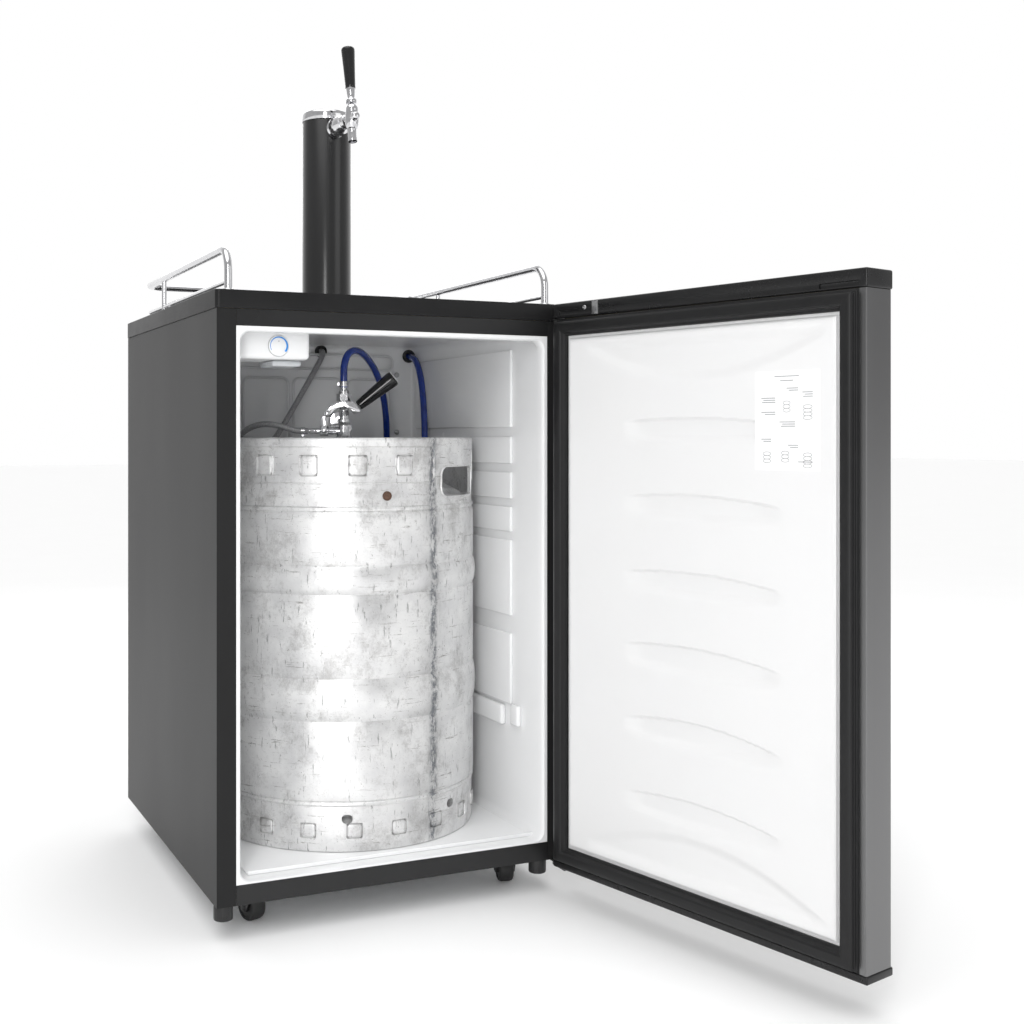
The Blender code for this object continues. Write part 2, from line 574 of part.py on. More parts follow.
# ---------------------------------------------------------------- guard rail
def guard_rail():
    """Three-sided rail of bent tube, with a thin rod below it and short posts, welded together."""
    left, right = RAIL_X
    front, rear = RAIL_Y
    foot = TOP_Z + GAP
    corners = [(left, front, foot), (left, front, RAIL_Z), (left, rear, RAIL_Z), (right, rear, RAIL_Z),
               (right, front, RAIL_Z), (right, front, foot)]
    rail = tube_mesh(filleted(corners, [0.030, 0.025, 0.025, 0.030]), RAIL_RADIUS, 2)
    ends = [(left, front, ROD_Z), (left, rear, ROD_Z), (right, rear, ROD_Z), (right, front, ROD_Z)]
    low_rod = tube_mesh(filleted(ends, [0.025, 0.025], 4), ROD_RADIUS, 1)
    places = [(left, 0.385), (right, 0.385), (0.130, rear), (0.375, rear)]
    posts = [rod(0.0036, foot, RAIL_Z, "Z", (x, y, 0.0), 10) for x, y in places]
    node("guard_rail", combined(rail, [low_rod, *posts]), "chrome", CABINET)


# ---------------------------------------------------------------- tower and faucet
def tower():
    """Column with its base flange, and the chrome cap."""
    low = TOP_Z + GAP
    inside = TOWER_RADIUS - TOWER_WALL
    wall = [(inside, low), (0.052, low), (0.052, low + 0.004), (0.049, low + 0.006), (TOWER_RADIUS, low + 0.007),
            (TOWER_RADIUS, TOWER_TOP), (inside, TOWER_TOP)]
    column = turned(wall, 32, ring=True, centre=(TOWER_X, TOWER_Y, 0.0))
    hole = rod(0.0116, TOWER_Y - 0.06, TOWER_Y - 0.01, "Y", (TOWER_X, 0.0, SHANK_Z))
    node("tower_column", carved(column, [hole]), "black_steel", CABINET)
    low = TOWER_TOP + GAP
    cap = [(0, low - 0.003), (inside - GAP, low - 0.003), (inside - GAP, low), (0.0385, low), (0.0385, 1.1425),
           (0.0375, 1.1450), (0.030, 1.1462), (0, 1.1466)]
    node("tower_cap", turned(cap, 32, centre=(TOWER_X, TOWER_Y, 0.0)), "chrome", CABINET)


def faucet():
    """Shank through the tower, coupling nut, faucet body, lever and black handle."""
    axis = (TOWER_X, 0.0, SHANK_Z)
    shank = [(0, 0.2680), (0.0075, 0.2680), (0.0080, 0.2660), (0.0110, 0.2640), (0.0110, 0.2535), (0.0140, 0.2525),
             (0.0150, 0.2505), (0.0135, 0.2470), (0.0110, 0.2452), (0, 0.2452)]
    node("faucet_shank", turned(shank, 24, along="Y", centre=axis), "chrome", CABINET)
    nut = [(0, 0.2449), (0.0125, 0.2449), (0.0146, 0.2430), (0.0146, 0.2290), (0.0138, 0.2230), (0.0115, 0.2140),
           (0.0108, 0.2098), (0, 0.2098)]
    node("faucet_coupling_nut", turned(nut, 24, along="Y", centre=axis), "chrome", CABINET)

    stub = turned([(0, 0.2095), (0.0100, 0.2095), (0.0100, FAUCET_Y), (0, FAUCET_Y)], 20, along="Y", centre=axis)
    barrel = [(0, 1.0990), (0.0080, 1.1000), (0.0098, 1.1070), (0.0104, 1.1155), (0.0097, 1.1230), (0.0094, 1.1270),
              (0.0094, LEVER_Z)]
    steps = 5
    dome = [(0.0094 * math.cos(math.pi / 2 * step / steps), LEVER_Z + 0.0094 * math.sin(math.pi / 2 * step / steps))
            for step in range(1, steps)]
    barrel = turned([*barrel, *dome, (0, LEVER_Z + 0.0094)], 20, centre=(TOWER_X, FAUCET_Y, 0.0))
    knob = turned([(0, FAUCET_Y), (0.0062, FAUCET_Y), (0.0062, 0.1660), (0.0045, 0.1630), (0, 0.1620)], 16,
                  along="Y", centre=axis)
    spout_path = [(TOWER_X, FAUCET_Y, 1.108), (TOWER_X, FAUCET_Y, 1.100), (TOWER_X, 0.1815, 1.094),
                  (TOWER_X, 0.1800, 1.087), (TOWER_X, 0.1782, 1.080)]
    spout = tube_mesh(spout_path, 0.0066, 3)
    bore = tube_mesh([(TOWER_X, 0.1806, 1.0885), (TOWER_X, 0.1762, 1.0730)], 0.0052, 2)
    node("faucet_body", carved(combined(stub, [barrel, knob, spout]), [bore]), "chrome", CABINET)

    lever = [(0, 0.0098), (0.0076, 0.0098), (0.0083, 0.0112), (0.0083, 0.0140), (0.0070, 0.0160), (0.0056, 0.0170),
             (0.0058, 0.0210), (0.0070, 0.0325), (0, 0.0325)]
    node("faucet_lever", turned(lever, 20), "chrome", LEVER)
    grip = [(0, 0.0328), (0.0074, 0.0328), (0.0077, 0.0400), (0.0103, 0.0925), (0.0100, 0.0950), (0.0085, 0.0965),
            (0, 0.0972)]
    node("tap_handle", turned(grip, 24), "black_plastic", LEVER)


# ---------------------------------------------------------------- keg
def hand_hole(angle):
    """Cutter for one hand hole through the keg's upper chime."""
    hole = block((0.150, -0.052, 0.561), (0.230, 0.052, 0.603), 0.008)
    hole.transform(Matrix.Rotation(angle, 4, "Z"))
    return hole


def keg():
    """Aluminium keg: chimes with rolled rims, two rolling rings, domed ends and a neck."""
    chime = 0.1925
    wall = 0.004
    profile = [
        (0, 0.100), (0.150, 0.096), (chime - wall, 0.084), (chime - wall, KEG_LOW + 0.002), (chime - 0.003, KEG_LOW),
        (chime - 0.001, KEG_LOW), (chime + 0.0005, KEG_LOW + 0.004), (chime + 0.0010, 0.140), (KEG_RADIUS, 0.146),
        (KEG_RADIUS, 0.256), (0.1980, 0.268), (0.1985, 0.285), (0.1980, 0.302), (KEG_RADIUS, 0.314),
        (KEG_RADIUS, 0.426), (0.1980, 0.434), (0.1985, 0.448), (0.1980, 0.462), (KEG_RADIUS, 0.470),
        (KEG_RADIUS, 0.541), (chime + 0.0012, 0.547), (chime + 0.0008, 0.630), (chime + 0.0020, 0.636),
        (chime + 0.0020, 0.642), (chime, KEG_TOP), (chime - 0.004, KEG_TOP), (chime - 0.006, 0.642),
        (chime - wall, 0.634), (chime - wall, 0.556), (0.175, 0.565), (0.130, 0.585), (0.070, 0.599), (0.034, 0.602),
        (0.032, 0.606), (0.032, NECK_TOP), (0, NECK_TOP),
    ]
    middle = (KEG_X, KEG_Y, 0.0)
    body = turned(profile, 32)
    facing = COUPLER_TURN - math.pi / 2
    holes = [hand_hole(facing + math.radians(turn)) for turn in (61.5, -118.5)]
    vessel = carved(body, holes)
    vessel.transform(Matrix.Translation(middle))
    node("keg", vessel, "keg_metal", CABINET)
    valve = [(0, NECK_TOP + GAP), (0.022, NECK_TOP + GAP), (0.022, 0.629), (0.020, 0.631), (0, 0.631)]
    node("keg_valve", turned(valve, 24, centre=middle), "chrome", CABINET)


# ---------------------------------------------------------------- keg coupler, in the coupler's own frame
def hexagon(radius):
    """Corners of a hexagonal nut."""
    return [(radius * math.cos(math.tau * side / 6), radius * math.sin(math.tau * side / 6)) for side in range(6)]


def lever_arm():
    """Outline of one lever arm: an arched band from the pivot's eye to the grip's end."""
    pivot_x, pivot_z = HANDLE_PIVOT
    inner = [(0.0150, 0.6805), (0.0080, 0.6880), (0.0000, 0.6905), (-0.0090, 0.6880), (-0.0170, 0.6820),
             (-0.0210, 0.6765)]
    steps = 5
    eye = [(pivot_x + 0.0048 * math.cos(math.radians(-60 - 170 * step / steps)),
            pivot_z + 0.0048 * math.sin(math.radians(-60 - 170 * step / steps))) for step in range(steps + 1)]
    outer = [(-0.0210, 0.6915), (-0.0110, 0.6975), (0.0010, 0.7000), (0.0110, 0.6995), (0.0160, 0.6975)]
    return [*inner, *eye, *outer, (0.0250, 0.6840)]


def coupler():
    """Coupler body, hex nut with hose tail, two-armed lever with its grip, gas valve and paddle."""
    body = [(0, 0.6313), (0.0290, 0.6313), (0.0300, 0.6340), (0.0285, 0.6390), (0.0180, 0.6420), (0.0100, 0.6480),
            (0.0078, 0.6560), (0.0078, 0.6660), (0.0092, 0.6670), (0.0092, 0.6720), (0.0078, 0.6730), (0.0078, 0.6990),
            (0, 0.6990)]
    lug = block((-0.0214, -0.0040, 0.6610), (-0.0050, 0.0040, 0.6840), 0.0015, 1)
    fin = prism([(0.0050, 0.6450), (0.0110, 0.6500), (0.0122, 0.6600), (0.0100, 0.6640), (0.0050, 0.6660)],
                -0.0025, 0.0025, "Y")
    inlet = rod(0.0055, -0.0138, 0.0, "X", (0.0, 0.0, GAS_Z))
    node("coupler_body", combined(turned(body, 24), [lug, fin, inlet]), "chrome", COUPLER)

    nut = prism(hexagon(0.0112), 0.6993, 0.7110)
    tail = turned([(0, 0.7100), (0.0078, 0.7100), (0.0078, 0.7150), (0.0050, 0.7165), (0.0050, 0.7200), (0, 0.7200)], 16)
    node("coupler_nut", combined(nut, [tail]), "chrome", COUPLER)

    near = prism(lever_arm(), -0.0165, -0.0130, "Y")
    far = prism(lever_arm(), 0.0130, 0.0165, "Y")
    pin = rod(0.0026, -0.0150, 0.0150, "Y", (HANDLE_PIVOT[0], 0.0, HANDLE_PIVOT[1]), 12)
    bridge = prism([(0.0168, 0.6890), (0.0210, 0.6835), (0.0250, 0.6840), (0.0175, 0.6960)], -0.0150, 0.0150, "Y")
    node("coupler_lever", combined(near, [far, pin, bridge]), "chrome", HANDLE, HANDLE_SHIFT)

    taper = [(0, 0.0), (0.0072, 0.0), (0.0080, 0.002), (0.0118, 0.064), (0.0118, 0.067), (0.0105, 0.069), (0, 0.069)]
    grip = turned(taper, 24)
    lean = Matrix.Rotation(math.pi / 2 - GRIP_RISE, 4, "Y")
    grip.transform(Matrix.Translation((0.0222, 0.0, 0.6927)) @ lean)
    node("coupler_grip", grip, "black_plastic", HANDLE, HANDLE_SHIFT)

    valve = [(0, -0.0530), (0.0036, -0.0530), (0.0044, -0.0365), (0.0060, -0.0360), (0.0078, -0.0350),
             (0.0078, -0.0240), (0.0055, -0.0230), (0.0055, -0.0141), (0, -0.0141)]
    boss = rod(0.0040, -0.0100, 0.0, "Y", (GAS_VALVE_X, 0.0, GAS_Z), 12)
    shutoff = turned(valve, 16, along="X", centre=(0.0, 0.0, GAS_Z))
    node("gas_valve_body", combined(shutoff, [boss]), "chrome", COUPLER)

    hub = rod(0.0048, -0.0126, -0.0103, "Y", (GAS_VALVE_X, 0.0, GAS_Z), 16)
    wing = prism([(-0.0325, 0.6550), (-0.0275, 0.6550), (-0.0225, 0.6760), (-0.0245, 0.6775), (-0.0330, 0.6765),
                  (-0.0345, 0.6750)], -0.0126, -0.0106, "Y")
    node("gas_valve_lever", combined(hub, [wing]), "chrome", PADDLE, PADDLE_SHIFT)


# ---------------------------------------------------------------- hoses
def hoses():
    """Blue beer line and grey gas line, end to end."""
    node("beer_line", tube(BEER_LINE, BEER_HOSE), "blue_hose", CABINET)
    node("gas_line", tube(GAS_LINE, GAS_HOSE), "grey_hose", CABINET)


# ---------------------------------------------------------------- gas supply behind the cabinet
def gas_supply():
    """Bracket on the back panel, gas cylinder, valve with handwheel, regulator and gauge."""
    x, y = CYLINDER_X, CYLINDER_Y
    wall = DEPTH + GAP
    upright = block((x - 0.045, wall, SHELF_Z - 0.030), (x + 0.045, wall + 0.003, 0.520))
    shelf = block((x - 0.055, wall, SHELF_Z - 0.003), (x + 0.055, y + 0.050, SHELF_Z))
    inner, outer = CYLINDER_RADIUS + 0.0006, CYLINDER_RADIUS + 0.0022
    band = turned([(inner, 0.470), (outer, 0.470), (outer, 0.495), (inner, 0.495)], 32, ring=True, centre=(x, y, 0.0))
    arm = block((x - 0.012, wall, 0.472), (x + 0.012, y - inner - 0.0004, 0.493))
    node("co2_bracket", combined(upright, [shelf, band, arm]), "galvanised", CABINET)

    low = SHELF_Z + GAP
    radius = CYLINDER_RADIUS
    steps = 5
    shoulder = [(0.014 + (radius - 0.014) * math.cos(math.pi / 2 * step / steps),
                 0.550 + 0.040 * math.sin(math.pi / 2 * step / steps)) for step in range(steps + 1)]
    vessel = [(0, low + 0.006), (0.045, low + 0.004), (0.055, low), (0.062, low + 0.004), (radius, low + 0.014),
              *shoulder, (0.014, 0.600), (0, 0.600)]
    node("co2_cylinder", turned(vessel, 24, centre=(x, y, 0.0)), "painted_cylinder", CABINET)

    stem = [(0, 0.6003), (0.0135, 0.6003), (0.0135, 0.610), (0.0115, 0.613), (0.0115, 0.650), (0.0080, 0.653),
            (0.0080, 0.660), (0, 0.660)]
    outlet = rod(0.0095, -0.0240, 0.0, "X", (x, y, VALVE_Z))
    node("co2_valve", combined(turned(stem, 20, centre=(x, y, 0.0)), [outlet]), "brass", CABINET)
    wheel = [(0, 0.6603), (0.0070, 0.6603), (0.0080, 0.6625), (0.0190, 0.6625), (0.0215, 0.6640), (0.0215, 0.6700),
             (0.0190, 0.6715), (0.0080, 0.6715), (0, 0.6720)]
    axis = empty("handwheel_axis", (x, y, 0.0), CABINET)
    node("co2_handwheel", turned(wheel, 24), "black_plastic", axis)

    centre = (0.0, y, VALVE_Z)
    gauge_x = x - 0.060
    body = [(0, x - 0.0243), (0.0115, x - 0.0243), (0.0115, x - 0.0340), (0.0075, x - 0.0350), (0.0075, x - 0.0420),
            (0.0170, x - 0.0440), (0.0190, x - 0.0500), (0.0190, x - 0.0690), (0.0170, x - 0.0740),
            (0.0050, x - 0.0750), (0.0042, x - 0.0850), (0, x - 0.0850)]
    pressure = turned([(radius_, along_) for radius_, along_ in body], 24, along="X", centre=centre)
    stub = rod(0.0050, VALVE_Z, 0.6600, "Z", (gauge_x, y, 0.0))
    node("regulator", combined(pressure, [stub]), "brass", CABINET)
    case = [(0, y - 0.010), (0.0170, y - 0.010), (0.0200, y - 0.008), (0.0200, y + 0.012), (0.0180, y + 0.014),
            (0, y + 0.014)]
    node("pressure_gauge", turned(case, 28, along="Y", centre=(gauge_x, 0.0, 0.6805)), "gauge_face", CABINET)


# ---------------------------------------------------------------- casters and feet
def caster(name, x, y, heading):
    """Swivel caster: fork with its top bearing, and the wheel on the fork's axle."""
    swivel = empty(f"{name}_swivel_axis", (x, y, BASE_Z), CABINET, (0.0, 0.0, heading))
    axle_z = WHEEL_RADIUS - BASE_Z
    cheek = [(-0.007, -0.0040), (TRAIL + 0.012, -0.0040), (TRAIL + 0.006, axle_z - 0.006),
             (TRAIL - 0.006, axle_z - 0.006)]
    inner, outer = 0.0112, 0.0140
    parts = [
        prism(cheek, inner, outer, "X"),
        prism(cheek, -outer, -inner, "X"),
        block((-outer, -0.007, -0.0074), (outer, TRAIL + 0.012, -0.0030)),
        rod(0.0028, -outer + 0.0005, outer - 0.0005, "X", (0.0, TRAIL, axle_z), 12),
    ]
    bearing = turned([(0, -GAP), (0.0135, -GAP), (0.0135, -0.0035), (0, -0.0035)], 20)
    node(f"{name}_fork", combined(bearing, parts), "black_plastic", swivel)
    axle = empty(f"{name}_wheel_axis", (0.0, TRAIL, axle_z), swivel)
    half = 0.0105
    tyre = [(0.0032, -half), (0.0150, -half), (WHEEL_RADIUS - 0.001, -half + 0.002), (WHEEL_RADIUS, -half + 0.005),
            (WHEEL_RADIUS, half - 0.005), (WHEEL_RADIUS - 0.001, half - 0.002), (0.0150, half), (0.0032, half)]
    node(f"{name}_wheel", turned(tyre, 20, ring=True, along="X"), "black_plastic", axle)


def running_gear():
    """Four casters at the corners, and two levelling feet screwed up under the front."""
    headings = {"front_left": 20, "front_right": -15, "rear_left": 160, "rear_right": 205}
    for name, heading in headings.items():
        x = CASTER_X["right" in name]
        y = CASTER_Y["rear" in name]
        caster(f"{name}_caster", x, y, math.radians(heading))
    for side, (x, y) in foot_places().items():
        axis = empty(f"{side}_foot_axis", (x, y, 0.0), CABINET)
        pad = [(0, 0.0255), (FOOT_RADIUS - 0.0015, 0.0255), (FOOT_RADIUS, 0.0280), (FOOT_RADIUS, 0.0440),
               (FOOT_RADIUS - 0.001, 0.0455), (STEM_RADIUS, 0.0455), (STEM_RADIUS, 0.0715), (0, 0.0715)]
        node(f"{side}_levelling_foot", turned(pad, 24), "black_plastic", axis)


side_panels()
back_panel()
front_rails()
base_pan()
top_panel()
inner_liner()
foam_insulation()
floor_tray()
evaporator_plate()
controls()
machinery()
hinges()
door()
guard_rail()
tower()
faucet()
keg()
coupler()
hoses()
gas_supply()
running_gear()
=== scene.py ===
"""Kegerator: a black keg refrigerator with its door open on a tapped keg, a draft tower and a railed worktop.

Pieces are modelled in the cabinet's own frame: X to the right, Y to the back, Z up from the floor, the
cabinet's front face at Y = 0 and its left side at X = 0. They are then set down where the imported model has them.
"""
import json
import math

import bpy
from mathutils import Matrix, Vector

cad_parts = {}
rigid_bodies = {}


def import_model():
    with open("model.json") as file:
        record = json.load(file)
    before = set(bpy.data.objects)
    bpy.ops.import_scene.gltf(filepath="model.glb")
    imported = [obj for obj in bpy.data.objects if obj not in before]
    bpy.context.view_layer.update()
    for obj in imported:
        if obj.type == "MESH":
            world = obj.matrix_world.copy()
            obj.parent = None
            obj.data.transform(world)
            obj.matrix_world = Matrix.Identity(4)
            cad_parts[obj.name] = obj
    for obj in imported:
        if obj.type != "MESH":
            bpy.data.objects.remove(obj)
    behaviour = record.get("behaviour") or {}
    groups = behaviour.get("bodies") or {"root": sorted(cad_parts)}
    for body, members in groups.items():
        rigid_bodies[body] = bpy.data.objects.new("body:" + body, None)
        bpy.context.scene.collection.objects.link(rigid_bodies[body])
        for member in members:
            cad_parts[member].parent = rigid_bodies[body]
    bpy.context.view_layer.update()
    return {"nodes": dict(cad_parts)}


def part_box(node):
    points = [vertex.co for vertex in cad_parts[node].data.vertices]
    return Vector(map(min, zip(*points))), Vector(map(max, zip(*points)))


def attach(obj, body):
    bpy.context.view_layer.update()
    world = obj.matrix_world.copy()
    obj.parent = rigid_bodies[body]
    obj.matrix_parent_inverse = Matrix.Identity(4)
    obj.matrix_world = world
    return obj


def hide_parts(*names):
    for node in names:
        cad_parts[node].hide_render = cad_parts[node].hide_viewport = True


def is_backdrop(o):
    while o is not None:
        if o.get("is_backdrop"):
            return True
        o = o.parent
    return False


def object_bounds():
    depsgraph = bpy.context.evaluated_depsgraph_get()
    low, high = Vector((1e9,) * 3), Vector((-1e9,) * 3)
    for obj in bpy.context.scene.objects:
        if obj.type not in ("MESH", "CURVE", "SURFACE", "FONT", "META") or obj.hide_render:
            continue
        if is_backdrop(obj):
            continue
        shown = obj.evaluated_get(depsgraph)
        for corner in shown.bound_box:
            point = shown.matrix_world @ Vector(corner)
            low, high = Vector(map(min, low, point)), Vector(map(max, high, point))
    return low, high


for leftover in list(bpy.data.objects):
    bpy.data.objects.remove(leftover, do_unlink=True)
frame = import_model()

# ------------------------------------------------------------------ studio
# A pale floor before a white backdrop, soft light from overhead, a tall strip light at the front left, and
# weaker lights from the right and the back; the room behind the camera is dimmer.
left_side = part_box("left_side_panel")[0]
CABINET = Matrix.Translation((left_side.x, left_side.y, 0.0))


def noise_node(nodes, links, scale, detail=4.0, stretch=(1.0, 1.0, 1.0), roughness=0.55):
    """Noise over the object's own coordinates, drawn out along an axis by the stretch."""
    place = nodes.new("ShaderNodeTexCoord")
    mapping = nodes.new("ShaderNodeMapping")
    mapping.inputs["Scale"].default_value = stretch
    pattern = nodes.new("ShaderNodeTexNoise")
    pattern.inputs["Scale"].default_value = scale
    pattern.inputs["Detail"].default_value = detail
    pattern.inputs["Roughness"].default_value = roughness
    links.new(place.outputs["Object"], mapping.inputs["Vector"])
    links.new(mapping.outputs["Vector"], pattern.inputs["Vector"])
    return pattern


def ramp_node(nodes, links, source, stops):
    """Colour ramp of (position, colour) stops, fed by a value."""
    ramp = nodes.new("ShaderNodeValToRGB")
    while len(ramp.color_ramp.elements) < len(stops):
        ramp.color_ramp.elements.new(0.5)
    for element, (position, colour) in zip(ramp.color_ramp.elements, stops):
        element.position = position
        element.color = (*colour, 1.0) if len(colour) == 3 else colour
    links.new(source, ramp.inputs["Fac"])
    return ramp


def surface(name, light, dark, roughness=(0.35, 0.5), metallic=0.0, scale=40.0, stretch=(1, 1, 1), bump=0.05,
            bump_scale=400.0, bump_depth=0.0002, coat=0.0, sheen=0.0, specular=0.5):
    """Principled finish whose colour and roughness wander a little, with a fine grain in its surface."""
    material = bpy.data.materials.new(name)
    material.use_nodes = True
    nodes, links = material.node_tree.nodes, material.node_tree.links
    shader = nodes["Principled BSDF"]
    shader.inputs["Metallic"].default_value = metallic
    shader.inputs["Coat Weight"].default_value = coat
    shader.inputs["Coat Roughness"].default_value = 0.12
    shader.inputs["Sheen Weight"].default_value = sheen
    shader.inputs["Specular IOR Level"].default_value = specular
    wander = noise_node(nodes, links, scale, 5.0, stretch)
    ramp = ramp_node(nodes, links, wander.outputs["Fac"], [(0.3, dark), (0.7, light)])
    links.new(ramp.outputs["Color"], shader.inputs["Base Color"])
    low, high = roughness
    shine = ramp_node(nodes, links, wander.outputs["Fac"], [(0.25, (low,) * 3), (0.75, (high,) * 3)])
    links.new(shine.outputs["Color"], shader.inputs["Roughness"])
    grain = noise_node(nodes, links, bump_scale, 3.0, stretch)
    relief = nodes.new("ShaderNodeBump")
    relief.inputs["Strength"].default_value = bump
    relief.inputs["Distance"].default_value = bump_depth
    links.new(grain.outputs["Fac"], relief.inputs["Height"])
    links.new(relief.outputs["Normal"], shader.inputs["Normal"])
    return material


def deselect():
    """Leaves edit mode with nothing selected."""
    if bpy.context.object and bpy.context.object.mode != "OBJECT":
        bpy.ops.object.mode_set(mode="OBJECT")
    bpy.ops.object.select_all(action="DESELECT")


deselect()
bpy.ops.mesh.primitive_plane_add(size=60, location=(0, 0, 0))
floor = bpy.context.object
floor.name = "studio_floor"
floor.data.materials.append(surface("floor_paper", (0.985, 0.985, 0.985), (0.975, 0.975, 0.975), (0.8, 0.9),
                                    scale=3.0))
floor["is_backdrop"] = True

world = bpy.data.worlds.new("studio")
bpy.context.scene.world = world
world.use_nodes = True
sky_nodes, sky_links = world.node_tree.nodes, world.node_tree.links
direction = sky_nodes.new("ShaderNodeTexCoord")
towards = sky_nodes.new("ShaderNodeVectorMath")
towards.operation = "DOT_PRODUCT"
towards.inputs[1].default_value = (0.403, 0.915, 0.0)
sky_links.new(direction.outputs["Generated"], towards.inputs[0])
falloff = sky_nodes.new("ShaderNodeMapRange")
falloff.inputs["From Min"].default_value = 0.30
falloff.inputs["From Max"].default_value = 0.82
falloff.inputs["To Min"].default_value = 0.46
falloff.inputs["To Max"].default_value = 1.0
sky_links.new(towards.outputs["Value"], falloff.inputs["Value"])
sky_links.new(falloff.outputs["Result"], sky_nodes["Background"].inputs["Strength"])
sky_nodes["Background"].inputs["Color"].default_value = (1.0, 1.0, 1.0, 1.0)
bpy.context.scene.view_settings.view_transform = "Standard"


def soft_light(name, place, aim, size, power, height=None):
    """Large rectangular light that looks from one point to another."""
    data = bpy.data.lights.new(name, "AREA")
    data.shape = "RECTANGLE"
    data.size, data.size_y = size, height or size
    data.energy = power
    lamp = bpy.data.objects.new(name, data)
    lamp.location = place
    lamp.rotation_euler = (Vector(aim) - Vector(place)).to_track_quat("-Z", "Y").to_euler()
    bpy.context.collection.objects.link(lamp)


soft_light("strip_light", (-1.25, -2.1, 1.1), (0.0, 0.0, 0.8), 0.40, 24, 2.2)
soft_light("fill_light", (1.7, -2.4, 1.5), (0.0, 0.0, 0.5), 1.4, 5)
soft_light("back_light", (0.6, 2.6, 2.2), (0.0, 0.2, 0.5), 1.6, 14)
overhead = bpy.data.lights.new("overhead_light", "SUN")
overhead.energy = 1.45
overhead.angle = math.radians(70)
lamp = bpy.data.objects.new("overhead_light", overhead)
lamp.rotation_euler = Vector((0.22, 0.20, -1.0)).to_track_quat("-Z", "Y").to_euler()
bpy.context.collection.objects.link(lamp)

camera = bpy.data.cameras.new("camera")
camera.sensor_width = 36.0
camera.lens = 45.97
camera.shift_x = 0.0898
camera.shift_y = -0.0721
eye = bpy.data.objects.new("camera", camera)
eye.location = CABINET @ Vector((-0.4332, -1.6226, 0.6436))
eye.rotation_euler = (math.radians(90), 0.0, -math.radians(23.79))
bpy.context.collection.objects.link(eye)
bpy.context.scene.camera = eye

# ------------------------------------------------------------------ hoses
# A glossy navy beer line of 11 mm hose runs from the coupler up in an arch, down behind the keg and up again
# through the back wall to the tower. A grey braided gas line of 9 mm runs from the coupler's shut-off round the
# keg's rim, out through the back wall and down to the regulator.
BEER_HOSE, GAS_HOSE = 0.0056, 0.0045
KEG_X, KEG_Y = 0.260, 0.236
TOWER_X, TOWER_Y = 0.2525, 0.292
SHANK_Z = 1.1155
COUPLER_TURN = math.radians(-20.4)
GAS_Z = 0.6545
GAS_BARB = -0.0542
BEER_ROUTE = [
    (KEG_X, KEG_Y, 0.7203), (0.260, 0.236, 0.736), (0.2615, 0.238, 0.754), (0.270, 0.244, 0.7715),
    (0.289, 0.259, 0.7785),
    (0.316, 0.285, 0.770), (0.345, 0.318, 0.749), (0.371, 0.354, 0.719), (0.392, 0.390, 0.680),
    (0.405, 0.417, 0.635), (0.413, 0.430, 0.595), (0.421, 0.421, 0.560), (0.430, 0.393, 0.545),
    (0.438, 0.363, 0.562), (0.4435, 0.350, 0.600), (0.447, 0.355, 0.650), (0.452, 0.371, 0.700),
    (0.457, 0.394, 0.745), (0.460, 0.422, 0.775), (0.4605, 0.455, 0.7850), (0.458, 0.490, 0.788),
    (0.444, 0.519, 0.795), (0.415, 0.534, 0.805), (0.380, 0.526, 0.813), (0.342, 0.497, 0.8165),
    (0.305, 0.455, 0.8165), (0.275, 0.412, 0.8165), (0.257, 0.370, 0.8160), (0.2525, 0.336, 0.8165),
    (0.2525, 0.314, 0.824), (0.2525, 0.303, 0.842), (0.2525, 0.302, 0.870), (0.2525, 0.308, 0.930),
    (0.2525, 0.310, 0.990), (0.2525, 0.311, 1.050), (0.2525, 0.309, 1.085), (0.2525, 0.301, 1.108),
    (0.2525, 0.284, 1.1155), (TOWER_X, 0.2700, SHANK_Z),
]
GAS_ROUTE = [
    (KEG_X + GAS_BARB * math.cos(COUPLER_TURN), KEG_Y + GAS_BARB * math.sin(COUPLER_TURN), GAS_Z),
    (0.191, 0.2617, 0.6555), (0.168, 0.270, 0.6625), (0.144, 0.282, 0.6645), (0.1245, 0.299, 0.655),
    (0.1165, 0.321, 0.637), (0.1235, 0.345, 0.618), (0.145, 0.363, 0.610), (0.172, 0.371, 0.622),
    (0.198, 0.377, 0.647), (0.228, 0.385, 0.690), (0.259, 0.395, 0.737), (0.283, 0.411, 0.770),
    (0.2965, 0.434, 0.786), (0.300, 0.462, 0.790), (0.300, 0.510, 0.790), (0.300, 0.570, 0.790),
    (0.299, 0.596, 0.789), (0.291, 0.619, 0.782), (0.273, 0.636, 0.762), (0.254, 0.643, 0.732),
    (0.242, 0.6435, 0.695), (0.244, 0.643, 0.660), (0.263, 0.643, 0.637), (0.2997, 0.643, 0.632),
]


def smooth_route(route, spacing):
    """Points at an even spacing along the smooth curve through the route's points."""
    route = [Vector(point) for point in route]
    padded = [2 * route[0] - route[1], *route, 2 * route[-1] - route[-2]]
    fine = []
    for a, b, c, d in zip(padded, padded[1:], padded[2:], padded[3:]):
        for part in range(24):
            t = part / 24
            fine.append(0.5 * (2 * b + (c - a) * t + (2 * a - 5 * b + 4 * c - d) * t * t
                               + (3 * b - a - 3 * c + d) * t * t * t))
    fine.append(route[-1])
    length = sum((after - before).length for before, after in zip(fine, fine[1:]))
    count = round(length / spacing)
    points, travelled = [fine[0]], 0.0
    for before, after in zip(fine, fine[1:]):
        travelled += (after - before).length
        if travelled >= length / count * len(points) and len(points) < count:
            points.append(after)
    return [*points, fine[-1]], length


